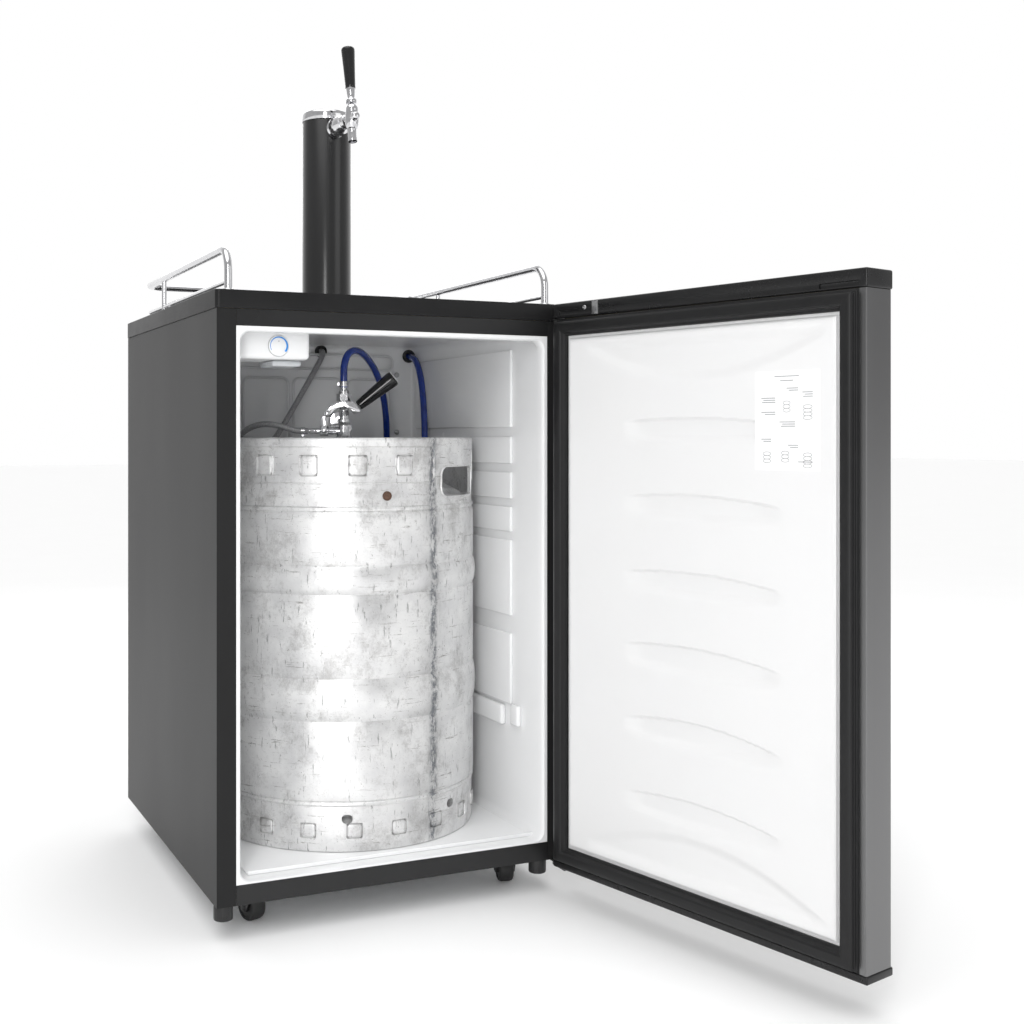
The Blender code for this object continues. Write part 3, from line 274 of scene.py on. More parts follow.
def hose(name, route, radius, material, node):
    """Hose along its route, as a curve, set on the cabinet in place of its imported part."""
    points, length = smooth_route(route, 0.006)
    curve = bpy.data.curves.new(name, "CURVE")
    curve.dimensions = "3D"
    curve.bevel_depth = radius
    curve.bevel_resolution = 6
    curve.use_fill_caps = True
    curve.resolution_u = 1
    curve.render_resolution_u = 0
    spline = curve.splines.new("POLY")
    spline.points.add(len(points) - 1)
    for item, point in zip(spline.points, points):
        item.co = (*(CABINET @ point), 1.0)
    spline.use_smooth = True
    piece = bpy.data.objects.new(name, curve)
    bpy.context.collection.objects.link(piece)
    curve.materials.append(material)
    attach(piece, "cabinet")
    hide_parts(node)
    print(name, "length", round(length, 3))
    return piece


navy = surface("navy_hose", (0.012, 0.045, 0.30), (0.008, 0.028, 0.20), (0.12, 0.22), scale=60, bump=0.15,
               bump_scale=900, coat=0.6)
braid = surface("grey_braid", (0.46, 0.46, 0.47), (0.20, 0.20, 0.21), (0.32, 0.5), metallic=0.2, scale=700,
                bump=0.6,
                bump_scale=1300, bump_depth=0.0006)
hose("beer_hose", BEER_ROUTE, BEER_HOSE, navy, "beer_line")
hose("gas_hose", GAS_ROUTE, GAS_HOSE, braid, "gas_line")

# ------------------------------------------------------------------ cabinet steel
# Side sheets folded round the front corners, the header, the sill, the base pan and the galvanised back:
# steel, the outside in satin black paint with a fine grain.
black_paint = surface("black_paint", (0.0195, 0.0195, 0.0198), (0.0175, 0.0175, 0.0178), (0.38, 0.42), scale=7,
                      stretch=(1, 1, 0.3), bump=0.22, bump_scale=1300, bump_depth=0.0003, specular=0.13)
header_paint = surface("header_paint", (0.015, 0.015, 0.0155), (0.013, 0.013, 0.0135), (0.26, 0.32), scale=9,
                       bump=0.12,
                       bump_scale=1300, specular=0.40)
galvanised = surface("galvanised_steel", (0.52, 0.53, 0.54), (0.36, 0.37, 0.38), (0.36, 0.55), metallic=0.85,
                     scale=55,
                     bump=0.1, bump_scale=300)
for name, material in {"left_side_panel": black_paint, "right_side_panel": black_paint,
                       "header_rail": header_paint,
                       "sill_rail": header_paint, "back_panel": galvanised, "base_pan": galvanised}.items():
    frame["nodes"][name].data.materials.clear()
    frame["nodes"][name].data.materials.append(material)

WIDTH, DEPTH = 0.505, 0.5645
CAP_LOW, TOP_Z = 0.8098, 0.8335


def block(name, low, high, bevel=0.0, segments=3):
    """Rectangular piece between two corners, its edges rounded by the bevel."""
    deselect()
    middle = [(a + b) / 2 for a, b in zip(low, high)]
    bpy.ops.mesh.primitive_cube_add(size=1, location=middle)
    piece = bpy.context.object
    piece.name = piece.data.name = name
    piece.scale = [b - a for a, b in zip(low, high)]
    bpy.ops.object.transform_apply(location=True, rotation=True, scale=True)
    if bevel:
        bpy.ops.object.mode_set(mode="EDIT")
        bpy.ops.mesh.select_all(action="SELECT")
        bpy.ops.mesh.bevel(offset=bevel, segments=segments, affect="EDGES")
        bpy.ops.object.mode_set(mode="OBJECT")
    return piece


def only(piece):
    """Selects one piece alone and makes it active."""
    deselect()
    piece.select_set(True)
    bpy.context.view_layer.objects.active = piece


def close_edit():
    """Turns the whole mesh's faces outwards and leaves edit mode."""
    bpy.ops.mesh.select_all(action="SELECT")
    bpy.ops.mesh.normals_make_consistent(inside=False)
    bpy.ops.object.mode_set(mode="OBJECT")


def settle(piece):
    """Writes a piece's place, turn and scale into its mesh."""
    only(piece)
    bpy.ops.object.transform_apply(location=True, rotation=True, scale=True)


def turned(name, profile, centre=(0, 0, 0), along="Z", segments=64, closed=False):
    """Round piece spun from a profile of (radius, height): each point is drawn from the last, then all is spun."""
    deselect()
    bpy.ops.mesh.primitive_plane_add(size=0.001, location=(0, 0, 0))
    piece = bpy.context.object
    piece.name = piece.data.name = name
    bpy.ops.object.mode_set(mode="EDIT")
    bpy.ops.mesh.select_mode(type="VERT")
    bpy.ops.mesh.select_all(action="SELECT")
    bpy.ops.mesh.merge(type="CENTER")
    last = (0.0, 0.0)
    for number, point in enumerate([*profile, profile[0]] if closed else profile):
        step = (point[0] - last[0], 0.0, point[1] - last[1])
        if number == 0:
            bpy.ops.transform.translate(value=step)
        else:
            bpy.ops.mesh.extrude_vertices_move(TRANSFORM_OT_translate={"value": step})
        last = point
    bpy.ops.mesh.select_all(action="SELECT")
    bpy.ops.mesh.spin(steps=segments, angle=math.tau, center=(0, 0, 0), axis=(0, 0, 1), use_auto_merge=True)
    bpy.ops.mesh.select_all(action="SELECT")
    bpy.ops.mesh.remove_doubles(threshold=0.000004)
    bpy.ops.mesh.normals_make_consistent(inside=False)
    bpy.ops.object.mode_set(mode="OBJECT")
    lay = {"X": Matrix.Rotation(math.radians(90), 4, "Y"), "Y": Matrix.Rotation(math.radians(-90), 4, "X"),
           "Z": Matrix.Identity(4)}[along]
    piece.matrix_world = Matrix.Translation(centre) @ lay
    bpy.ops.object.transform_apply(location=True, rotation=True, scale=True)
    return piece


def cut(piece, *cutters, operation="DIFFERENCE"):
    """Cuts other shapes out of a piece, or joins them to it, and removes them."""
    for cutter in cutters:
        only(piece)
        step = piece.modifiers.new("cut", "BOOLEAN")
        step.operation = operation
        step.solver = "EXACT"
        step.object = cutter
        bpy.ops.object.modifier_apply(modifier=step.name)
        bpy.data.objects.remove(cutter, do_unlink=True)
    return piece


def soften(piece, width, segments=2, angle=35.0):
    """Rounds the piece's sharp edges a little."""
    only(piece)
    step = piece.modifiers.new("soften", "BEVEL")
    step.width = width
    step.segments = segments
    step.limit_method = "ANGLE"
    step.angle_limit = math.radians(angle)
    step.harden_normals = False
    bpy.ops.object.modifier_apply(modifier=step.name)
    return piece


def joined(name, *pieces):
    """One object of several, as loose parts of one piece."""
    deselect()
    for piece in pieces:
        piece.select_set(True)
    bpy.context.view_layer.objects.active = pieces[0]
    bpy.ops.object.join()
    pieces[0].name = pieces[0].data.name = name
    return pieces[0]


def placed(piece, material, body, slot, *nodes, place=CABINET, angle=35.0):
    """Sets a finished piece down in its frame, with its finish, its body and the nodes that it stands for."""
    only(piece)
    piece.matrix_world = place @ piece.matrix_world
    bpy.ops.object.transform_apply(location=True, rotation=True, scale=True)
    bpy.ops.object.shade_smooth_by_angle(angle=math.radians(angle))
    piece.data.materials.clear()
    piece.data.materials.append(material)
    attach(piece, body)
    if nodes:
        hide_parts(*nodes)
    return piece


# Screws: domed heads with a cross slot, set along the seams.
chrome = surface("chrome_plate", (0.78, 0.78, 0.79), (0.66, 0.66, 0.68), (0.07, 0.16), metallic=1.0, scale=120,
                 bump=0.04, bump_scale=700)
zinc = surface("zinc_screw", (0.60, 0.60, 0.60), (0.42, 0.42, 0.43), (0.25, 0.4), metallic=1.0, scale=300,
               bump=0.05)


def screw(name, centre, radius, facing):
    """Cross-slotted screw head, facing down an axis given as X, -X, Y, -Y, Z or -Z."""
    head = turned(name, [(0, -0.0002), (radius, -0.0002), (radius, radius * 0.15),
                         (radius * 0.8, radius * 0.42),
                         (radius * 0.4, radius * 0.55), (0, radius * 0.58)], segments=24)
    arm, deep = radius * 0.62, radius * 0.2
    cut(head, block("slot", (-arm, -arm * 0.22, deep), (arm, arm * 0.22, radius)),
        block("slot", (-arm * 0.22, -arm, deep), (arm * 0.22, arm, radius)))
    turn = {"X": ("Y", 90), "-X": ("Y", -90), "Y": ("X", -90), "-Y": ("X", 90), "Z": ("X", 0),
            "-Z": ("X", 180)}[facing]
    head.matrix_world = Matrix.Translation(centre) @ Matrix.Rotation(math.radians(turn[1]), 4, turn[0])
    settle(head)
    return head


rear_screws = [screw("rear_screw", (x, DEPTH, z), 0.0035, "Y") for x in (0.010, 0.2525, 0.495) for z in (0.797,
                                                                                                         0.545,
                                                                                                         0.303)]
placed(joined("back_panel_screws", *rear_screws), zinc, "cabinet", "galvanised")

# ------------------------------------------------------------------ worktop
# Moulded black cap with rounded corners, hollow below, pressed over the top of the side sheets.


def pick(piece, kind, test):
    """Opens a piece for editing with only the edges, by their two ends, or the faces that pass a test selected."""
    bpy.ops.object.mode_set(mode="EDIT")
    bpy.ops.mesh.select_mode(type=kind)
    bpy.ops.mesh.select_all(action="DESELECT")
    bpy.ops.object.mode_set(mode="OBJECT")
    vertices = piece.data.vertices
    for edge in piece.data.edges if kind == "EDGE" else ():
        edge.select = test(*(vertices[i].co for i in edge.vertices))
    for face in piece.data.polygons if kind == "FACE" else ():
        face.select = test(face)
    bpy.ops.object.mode_set(mode="EDIT")


worktop = block("worktop", (-0.0015, -0.0015, CAP_LOW), (WIDTH + 0.0015, DEPTH + 0.001, TOP_Z))
pick(worktop, "EDGE", lambda a, b: abs(a.z - b.z) > 0.01)
bpy.ops.mesh.bevel(offset=0.006, segments=6, affect="EDGES")
pick(worktop, "FACE", lambda face: face.normal.z < -0.9)
bpy.ops.mesh.inset(thickness=0.0026)
bpy.ops.mesh.extrude_region_move(TRANSFORM_OT_translate={"value": (0, 0, 0.0207)})
bpy.ops.object.mode_set(mode="OBJECT")
cut(worktop, turned("well", [(0, 0.80), (0.034, 0.80), (0.034, 0.85), (0, 0.85)], (TOWER_X, TOWER_Y, 0)),
    block("notch", (0.4825, -0.01, 0.800), (0.5031, 0.006, 0.8121)))
soften(worktop, 0.0016, 3, 60)
worktop_black = surface("worktop_black", (0.016, 0.016, 0.0165), (0.013, 0.013, 0.0135), (0.34, 0.42), scale=14,
                        bump=0.3, bump_scale=1100, bump_depth=0.0003, specular=0.16)
placed(worktop, worktop_black, "cabinet", "black_worktop", "top_panel", angle=50)

# ------------------------------------------------------------------ inner liner
# White moulded tub: a flat front rim, a rounded mouth, and shelf ridges on both side walls.
white = surface("white_moulding", (0.90, 0.905, 0.91), (0.875, 0.88, 0.885), (0.20, 0.28), scale=6, bump=0.05,
                bump_scale=500)
RIM = ((0.0258, 0.0718), (0.4792, 0.7877))
deselect()
bpy.ops.mesh.primitive_plane_add(size=1, location=(0, 0, 0), rotation=(math.radians(90), 0, 0))
liner = bpy.context.object
liner.name = liner.data.name = "cabinet_liner"
liner.scale = (RIM[1][0] - RIM[0][0], RIM[1][1] - RIM[0][1], 1)
bpy.ops.object.transform_apply(location=True, rotation=True, scale=True)
liner.location = ((RIM[0][0] + RIM[1][0]) / 2, 0.0006, (RIM[0][1] + RIM[1][1]) / 2)
bpy.ops.object.transform_apply(location=True, rotation=True, scale=True)
size = Vector((RIM[1][0] - RIM[0][0], RIM[1][1] - RIM[0][1]))
bpy.ops.object.mode_set(mode="EDIT")
bpy.ops.mesh.select_mode(type="FACE")
bpy.ops.mesh.select_all(action="SELECT")
bpy.ops.mesh.inset(thickness=0.002)
size -= Vector((0.004, 0.004))
centre_now = Vector((0.2525, (RIM[0][1] + RIM[1][1]) / 2))


def mouth(low, high, y_step):
    """Draws the liner's open end back by a step and sets its width and height."""
    global size, centre_now
    if y_step:
        bpy.ops.mesh.extrude_region_move(TRANSFORM_OT_translate={"value": (0, y_step, 0)})
    new_size = Vector((high[0] - low[0], high[1] - low[1]))
    new_centre = Vector(((low[0] + high[0]) / 2, (low[1] + high[1]) / 2))
    bpy.ops.transform.resize(value=(new_size.x / size.x, 1, new_size.y / size.y),
                             center_override=(centre_now.x, 0, centre_now.y))
    move = new_centre - centre_now
    bpy.ops.transform.translate(value=(move.x, 0, move.y))
    size, centre_now = new_size, new_centre


mouth((0.0300, 0.0733), (0.4750, 0.7835), 0)
bpy.ops.mesh.select_mode(type="VERT")
bpy.ops.mesh.bevel(offset=0.014, segments=7, affect="VERTICES")
bpy.ops.mesh.select_all(action="DESELECT")
bpy.ops.object.mode_set(mode="OBJECT")
most = max(liner.data.polygons, key=lambda face: len(face.vertices)).index
bpy.ops.object.mode_set(mode="EDIT")
bpy.ops.mesh.select_mode(type="FACE")
bpy.ops.object.mode_set(mode="OBJECT")
for face in liner.data.polygons:
    face.select = face.index == most
bpy.ops.object.mode_set(mode="EDIT")
for low, high, step in [
    ((0.0306, 0.0736), (0.4744, 0.7828), 0.0006), ((0.0318, 0.0741), (0.4732, 0.7816), 0.0016),
    ((0.0325, 0.0745), (0.4725, 0.7810), 0.0034), ((0.0325, 0.0745), (0.4725, 0.7810), 0.0110),
    ((0.0325, 0.0745), (0.4725, 0.7822), 0.0018), ((0.0325, 0.0745), (0.4725, 0.7990), 0.0020),
    ((0.0325, 0.0745), (0.4725, 0.8000), 0.0020), ((0.0325, 0.0745), (0.4725, 0.8000), 0.4200),
    ((0.0332, 0.0751), (0.4718, 0.7994), 0.0058), ((0.0352, 0.0770), (0.4698, 0.7975), 0.0042),
    ((0.0385, 0.0800), (0.4665, 0.7945), 0.0022), ((0.0430, 0.0840), (0.4620, 0.7905), 0.0008),
]:
    mouth(low, high, step)
close_edit()
inward = liner.data.polygons[0].normal.y > 0
if inward:
    bpy.ops.object.mode_set(mode="EDIT")
    bpy.ops.mesh.flip_normals()
    bpy.ops.object.mode_set(mode="OBJECT")
wall = liner.modifiers.new("wall", "SOLIDIFY")
wall.thickness = 0.0014
wall.offset = -1.0
bpy.ops.object.modifier_apply(modifier="wall")
beer_port, gas_port = (0.4605, 0.7850), (0.3000, 0.7895)
cut(liner, turned("port", [(0, 0.44), (0.0078, 0.44), (0.0078, 0.47), (0, 0.47)],
                  (beer_port[0], 0, beer_port[1]), "Y", 32),
    turned("port", [(0, 0.44), (0.0066, 0.44), (0.0066, 0.47), (0, 0.47)], (gas_port[0], 0, gas_port[1]), "Y",
           32))
placed(liner, white, "cabinet", "white_liner", "inner_liner", angle=40)


def ridge(name, side, low_z, high_z, proud, front):
    """Moulded ridge on a side wall: proud of it, from its front end back, with all its edges rounded alike."""
    inner, outer = {"right": (0.4725 - proud, 0.4727), "left": (0.0323, 0.0325 + proud)}[side]
    return block(name, (inner, front, low_z), (outer, 0.4440, high_z), proud * 0.45, 4)


ridges = []
for side in ("left", "right"):
    for low_z, high_z in ((0.660, 0.774), (0.606, 0.646), (0.554, 0.593), (0.505, 0.542), (0.381, 0.493),
                          (0.250, 0.355)):
        ridges.append(ridge("shelf_ridge", side, low_z, high_z, 0.0042, 0.092))
    ridges.append(ridge("shelf_rib", side, 0.216, 0.246, 0.0095, 0.112))
    inner, outer = {"right": (0.4645, 0.4727), "left": (0.0323, 0.0405)}[side]
    ridges.append(block("shelf_lug", (inner, 0.064, 0.222), (outer, 0.088, 0.252), 0.0035, 4))
placed(joined("shelf_ridges", *ridges), white, "cabinet", "white_liner")

grommets = []
rubber = surface("black_rubber", (0.020, 0.020, 0.021), (0.013, 0.013, 0.014), (0.5, 0.7), scale=30, bump=0.15,
                 bump_scale=600)
for (x, z), bore in ((beer_port, 0.0062), (gas_port, 0.0052)):
    grommets.append(turned("grommet", [(bore, 0.4500), (bore + 0.0015, 0.4488), (bore + 0.0042, 0.4496),
                                       (bore + 0.0050, 0.4515), (bore + 0.0050, 0.4548), (bore, 0.4548)],
                           (x, 0, z), "Y", 40, True))
placed(joined("hose_grommets", *grommets), rubber, "cabinet", "rubber")

# Keg tray: a plain white sheet with a turned-up front edge.
tray = block("keg_tray", (0.048, 0.024, 0.0748), (0.469, 0.445, 0.0766), 0.0006, 2)
lip = block("tray_lip", (0.048, 0.0242, 0.0750), (0.469, 0.0282, 0.0798), 0.0012, 3)
placed(joined("keg_tray", tray, lip), white, "cabinet", "white_liner", "floor_tray")

# Cooling plate: a rolled aluminium sheet in grey enamel, its channels blown up as round-cornered loops.
plate_grey = surface("plate_enamel", (0.78, 0.785, 0.79), (0.70, 0.705, 0.71), (0.3, 0.45), metallic=0.1,
                     scale=18,
                     bump=0.1, bump_scale=260)
plate = block("cooling_plate", (0.045, 0.4466, 0.400), (0.4505, 0.4484, 0.7955))
bpy.ops.object.mode_set(mode="OBJECT")
for edge in plate.data.edges:
    a, b = (plate.data.vertices[i].co for i in edge.vertices)
    edge.select = abs(a.y - b.y) > 0.001
bpy.ops.object.mode_set(mode="EDIT")
bpy.ops.mesh.select_mode(type="EDGE")
bpy.ops.object.mode_set(mode="OBJECT")
for edge in plate.data.edges:
    a, b = (plate.data.vertices[i].co for i in edge.vertices)
    edge.select = abs(a.y - b.y) > 0.001
bpy.ops.object.mode_set(mode="EDIT")
bpy.ops.mesh.bevel(offset=0.012, segments=8, affect="EDGES")
bpy.ops.object.mode_set(mode="OBJECT")
cut(plate, turned("port", [(0, 0.43), (0.0068, 0.43), (0.0068, 0.47), (0, 0.47)], (gas_port[0], 0, 0.7868), "Y",
                  32))


def loop_path(low, high, radius, y, steps=6):
    """Points round a rectangle with round corners, standing at one depth."""
    points = []
    corners = [(high[0] - radius, high[1] - radius, 0), (low[0] + radius, high[1] - radius, 90),
               (low[0] + radius, low[1] + radius, 180), (high[0] - radius, low[1] + radius, 270)]
    for x, z, start in corners:
        for step in range(steps + 1):
            angle = math.radians(start + 90 * step / steps)
            points.append((x + radius * math.cos(angle), y, z + radius * math.sin(angle)))
    return points


def tube(name, points, radius, cyclic=False, resolution=4):
    """Round tube along points, made a mesh."""
    curve = bpy.data.curves.new(name, "CURVE")
    curve.dimensions = "3D"
    curve.bevel_depth = radius
    curve.bevel_resolution = resolution
    curve.use_fill_caps = True
    spline = curve.splines.new("POLY")
    spline.points.add(len(points) - 1)
    for item, point in zip(spline.points, points):
        item.co = (*point, 1.0)
    spline.use_cyclic_u = cyclic
    piece = bpy.data.objects.new(name, curve)
    bpy.context.collection.objects.link(piece)
    only(piece)
    bpy.ops.object.convert(target="MESH")
    piece = bpy.context.object
    bpy.ops.object.mode_set(mode="EDIT")
    bpy.ops.mesh.select_all(action="SELECT")
    bpy.ops.mesh.remove_doubles(threshold=0.000004)
    bpy.ops.mesh.normals_make_consistent(inside=False)
    bpy.ops.object.mode_set(mode="OBJECT")
    return piece


channels = [tube("channel", loop_path(low, high, 0.011, 0.4467), 0.0021, True, 3) for low, high in [
    ((0.066, 0.7595), (0.428, 0.7835)), ((0.062, 0.6250), (0.1550, 0.7435)),
    ((0.1645, 0.6250), (0.2405, 0.7435)),
    ((0.2495, 0.6250), (0.3345, 0.7435)), ((0.3440, 0.6250), (0.4200, 0.7435)),
    ((0.062, 0.425), (0.2350, 0.6080)),
    ((0.2600, 0.425), (0.4330, 0.6080)),
]]
placed(joined("cooling_plate", plate, *channels), plate_grey, "cabinet", "grey_plate", "evaporator_plate")
pegs = [screw("plate_screw", (x, 0.4466, z), 0.0045, "-Y") for x in (0.07, 0.4352) for z in (0.654, 0.752)]
placed(joined("plate_screws", *pegs), zinc, "cabinet", "galvanised")

# ------------------------------------------------------------------ thermostat
# White moulded housing under the ceiling with a turning dial; a blue arc, thin for warm and thick for cold, runs
# round the dial, and a grey lamp lens hangs behind.
DIAL_X, DIAL_Z, HOUSING_FRONT = 0.0945, 0.766, 0.040
housing = block("thermostat_box", (0.0375, HOUSING_FRONT, 0.7485), (0.139, 0.125, 0.7997), 0.006, 6)
cut(housing, turned("well", [(0, 0.03), (0.0145, 0.03), (0.0145, 0.0430), (0, 0.0430)], (DIAL_X, 0, DIAL_Z),
                    "Y", 64))
placed(housing, white, "cabinet", "white_liner", "thermostat_housing")
knob = turned("thermostat_knob", [(0, 0.0380), (0.0130, 0.0380), (0.0135, 0.0383), (0.0138, 0.0390),
                                  (0.0138, 0.0426),
                                  (0, 0.0426)], (DIAL_X, 0, DIAL_Z), "Y", 96)
pip = turned("pip", [(0, 0.0378), (0.0006, 0.0378), (0.0007, 0.0386), (0, 0.0386)],
             (DIAL_X, 0, DIAL_Z + 0.0062), "Y", 16)
placed(knob, white, "thermostat_knob", "white_liner", "thermostat_dial")
blue = surface("blue_print", (0.005, 0.25, 0.74), (0.005, 0.22, 0.68), (0.3, 0.4), scale=90, bump=0.02)
placed(pip, rubber, "thermostat_knob", "rubber")


def arc_band(name, centre, start, end, radius, width_from, width_to, front, steps=48):
    """Thin printed arc that widens along its length, facing forwards. Angles run clockwise from the top."""
    outer, inner = [], []
    for step in range(steps + 1):
        t = step / steps
        angle = math.radians(start + (end - start) * t)
        half = (width_from + (width_to - width_from) * t) / 2
        outer.append((centre[0] + (radius + half) * math.sin(angle),
                      centre[1] + (radius + half) * math.cos(angle)))
        inner.append((centre[0] + (radius - half) * math.sin(angle),
                      centre[1] + (radius - half) * math.cos(angle)))
    mesh = bpy.data.meshes.new(name)
    ring = [*outer, *reversed(inner)]
    mesh.from_pydata([(x, front, z) for x, z in ring], [], [list(range(len(ring)))])
    piece = bpy.data.objects.new(name, mesh)
    bpy.context.collection.objects.link(piece)
    only(piece)
    bpy.ops.object.mode_set(mode="EDIT")
    bpy.ops.mesh.select_all(action="SELECT")
    bpy.ops.mesh.extrude_region_move(TRANSFORM_OT_translate={"value": (0, 0.0004, 0)})
    close_edit()
    return piece


arc = arc_band("cold_arc", (DIAL_X, DIAL_Z), -120, 130, 0.0116, 0.0006, 0.0026, 0.0378)
placed(arc, blue, "thermostat_knob", "white_liner")
lens = block("lamp_lens", (0.0925, 0.0600, 0.7402), (0.1335, 0.1180, 0.7480), 0.0035, 5)
lens_grey = surface("lens_grey", (0.62, 0.64, 0.66), (0.50, 0.52, 0.54), (0.15, 0.3), scale=40,
                    stretch=(1, 8, 1),
                    bump=0.3, bump_scale=200)
placed(lens, lens_grey, "cabinet", "lens", "lamp_lens")
for name in ("foam_insulation", "door_foam"):
    frame["nodes"][name].data.materials.clear()
    frame["nodes"][name].data.materials.append(
        surface(f"{name}_cells", (0.78, 0.68, 0.40), (0.66, 0.55, 0.30), (0.85, 0.95), scale=160, bump=0.5,
                bump_scale=500, bump_depth=0.001))

# ------------------------------------------------------------------ keg
# Worn aluminium keg: rolled rims, two rolling rings, embossed chimes with hand holes, and a domed head with the
# valve in its neck. Its skin is bright but dull, scratched along and across, with specks of dirt.
KEG_R, CHIME_R = 0.1955, 0.1925
FACING = COUPLER_TURN - math.pi / 2


def keg_metal():
    """Dull bright aluminium with cloudy wear, fine scratches both ways and dark specks."""
    material = surface("keg_aluminium", (0.88, 0.88, 0.875), (0.70, 0.70, 0.705), (0.28, 0.44), metallic=0.70,
                       scale=26,
                       bump=0.45, bump_scale=130, bump_depth=0.0007)
    nodes, links = material.node_tree.nodes, material.node_tree.links
    shader = nodes["Principled BSDF"]
    colour = shader.inputs["Base Color"].links[0].from_socket
    marks = [
        (noise_node(nodes, links, 15, 12, (1, 1, 0.9), 0.85), 0.38, 0.50, (0.52, 0.515, 0.51)),
        (noise_node(nodes, links, 210, 8, (1, 1, 0.16), 0.7), 0.360, 0.395, (0.40, 0.40, 0.40)),
        (noise_node(nodes, links, 80, 10, (0.22, 0.22, 3.2), 0.8), 0.375, 0.405, (0.33, 0.32, 0.31)),
        (noise_node(nodes, links, 130, 12, (1.5, 0.6, 1.0), 0.85), 0.375, 0.400, (0.24, 0.23, 0.22)),
        (noise_node(nodes, links, 300, 6, (1, 1, 1), 0.7), 0.305, 0.330, (0.10, 0.075, 0.055)),
    ]
    for pattern, dark, clear, dirt in marks:
        mask = ramp_node(nodes, links, pattern.outputs["Fac"], [(dark, (0, 0, 0)), (clear, (1, 1, 1))])
        mix = nodes.new("ShaderNodeMix")
        mix.data_type = "RGBA"
        links.new(mask.outputs["Color"], mix.inputs["Factor"])
        mix.inputs["A"].default_value = (*dirt, 1.0)
        links.new(colour, mix.inputs["B"])
        colour = mix.outputs["Result"]
    # a scuffed upright seam, a thin speckled band at one side of the front
    place = nodes.new("ShaderNodeTexCoord")
    aside = nodes.new("ShaderNodeMapping")
    aside.vector_type = "TEXTURE"
    axis = CABINET @ Vector((KEG_X, KEG_Y, 0.0))
    aside.inputs["Location"].default_value = axis
    aside.inputs["Rotation"].default_value = (0.0, 0.0, FACING + math.radians(40.0))
    links.new(place.outputs["Object"], aside.inputs["Vector"])
    parts = nodes.new("ShaderNodeSeparateXYZ")
    links.new(aside.outputs["Vector"], parts.inputs["Vector"])
    off = nodes.new("ShaderNodeMath")
    off.operation = "ABSOLUTE"
    links.new(parts.outputs["Y"], off.inputs[0])
    band = nodes.new("ShaderNodeMapRange")
    band.inputs["From Min"].default_value = 0.009
    band.inputs["From Max"].default_value = 0.003
    links.new(off.outputs["Value"], band.inputs["Value"])
    side = nodes.new("ShaderNodeMath")
    side.operation = "GREATER_THAN"
    side.inputs[1].default_value = 0.0
    links.new(parts.outputs["X"], side.inputs[0])
    speckle = ramp_node(nodes, links, noise_node(nodes, links, 170, 10, (1, 1, 0.5), 0.8).outputs["Fac"],
                        [(0.46, (1, 1, 1)), (0.54, (0, 0, 0))])
    both = nodes.new("ShaderNodeMath")
    both.operation = "MULTIPLY"
    links.new(band.outputs["Result"], both.inputs[0])
    links.new(side.outputs["Value"], both.inputs[1])
    worn = nodes.new("ShaderNodeMath")
    worn.operation = "MULTIPLY"
    links.new(both.outputs["Value"], worn.inputs[0])
    links.new(speckle.outputs["Color"], worn.inputs[1])
    mix = nodes.new("ShaderNodeMix")
    mix.data_type = "RGBA"
    links.new(worn.outputs["Value"], mix.inputs["Factor"])
    links.new(colour, mix.inputs["A"])
    mix.inputs["B"].default_value = (0.25, 0.26, 0.28, 1.0)
    links.new(mix.outputs["Result"], shader.inputs["Base Color"])
    return material


def arc_points(centre, radius, start, end, steps):
    """Points of (radius, height) along a circular arc of a profile."""
    return [(centre[0] + radius * math.cos(math.radians(start + (end - start) * step / steps)),
             centre[1] + radius * math.sin(math.radians(start + (end - start) * step / steps)))
            for step in range(steps + 1)]


def rolling_ring(low, high):
    """Profile of one rolling ring's swell, from its lower edge to its upper."""
    points = []
    for step in range(11):
        t = step / 10
        points.append((KEG_R - 0.0014 + 0.0044 * math.sin(math.pi * t) ** 0.6, low + (high - low) * t))
    return points


keg_profile = [
    (0, 0.1005), (0.100, 0.0992), (0.150, 0.0963), (0.180, 0.0880), (0.1873, 0.0842), (0.1882, 0.0810),
    *arc_points((0.1905, 0.0794), 0.0023, 180, 360, 8), (0.1930, 0.083), (0.1931, 0.1375), (0.1928, 0.1390),
    (0.1944, 0.1402), (0.1951, 0.1420), (0.1944, 0.1440), (0.1931, 0.1452), (KEG_R - 0.0004, 0.1480),
    (KEG_R, 0.1530),
    (KEG_R, 0.2520), *rolling_ring(0.2555, 0.3135), (KEG_R, 0.3170),
    (KEG_R, 0.4255), *rolling_ring(0.4290, 0.4680), (KEG_R, 0.4715), (KEG_R, 0.5330), (KEG_R - 0.0004, 0.5385),
    (0.1936, 0.5412), (0.1930, 0.5424), (0.1946, 0.5440), (0.1951, 0.5462), (0.1946, 0.5484), (0.1930, 0.5500),
    (0.1928, 0.5520), (0.1930, 0.6280),
    (0.1932, 0.6320), *arc_points((0.1908, 0.6410), 0.0037, -20, 180, 10), (0.1868, 0.6380), (0.1884, 0.6330),
    (0.1886, 0.5600), (0.1850, 0.5575), (0.1750, 0.5640), (0.150, 0.5765), (0.120, 0.5880), (0.080, 0.5968),
    (0.045, 0.6005), (0.0350, 0.6020), (0.0325, 0.6045), (0.0320, 0.6080), (0.0320, 0.6240), (0.0310, 0.6258),
    (0, 0.6258),
]
keg = turned("keg_shell", keg_profile, segments=144)


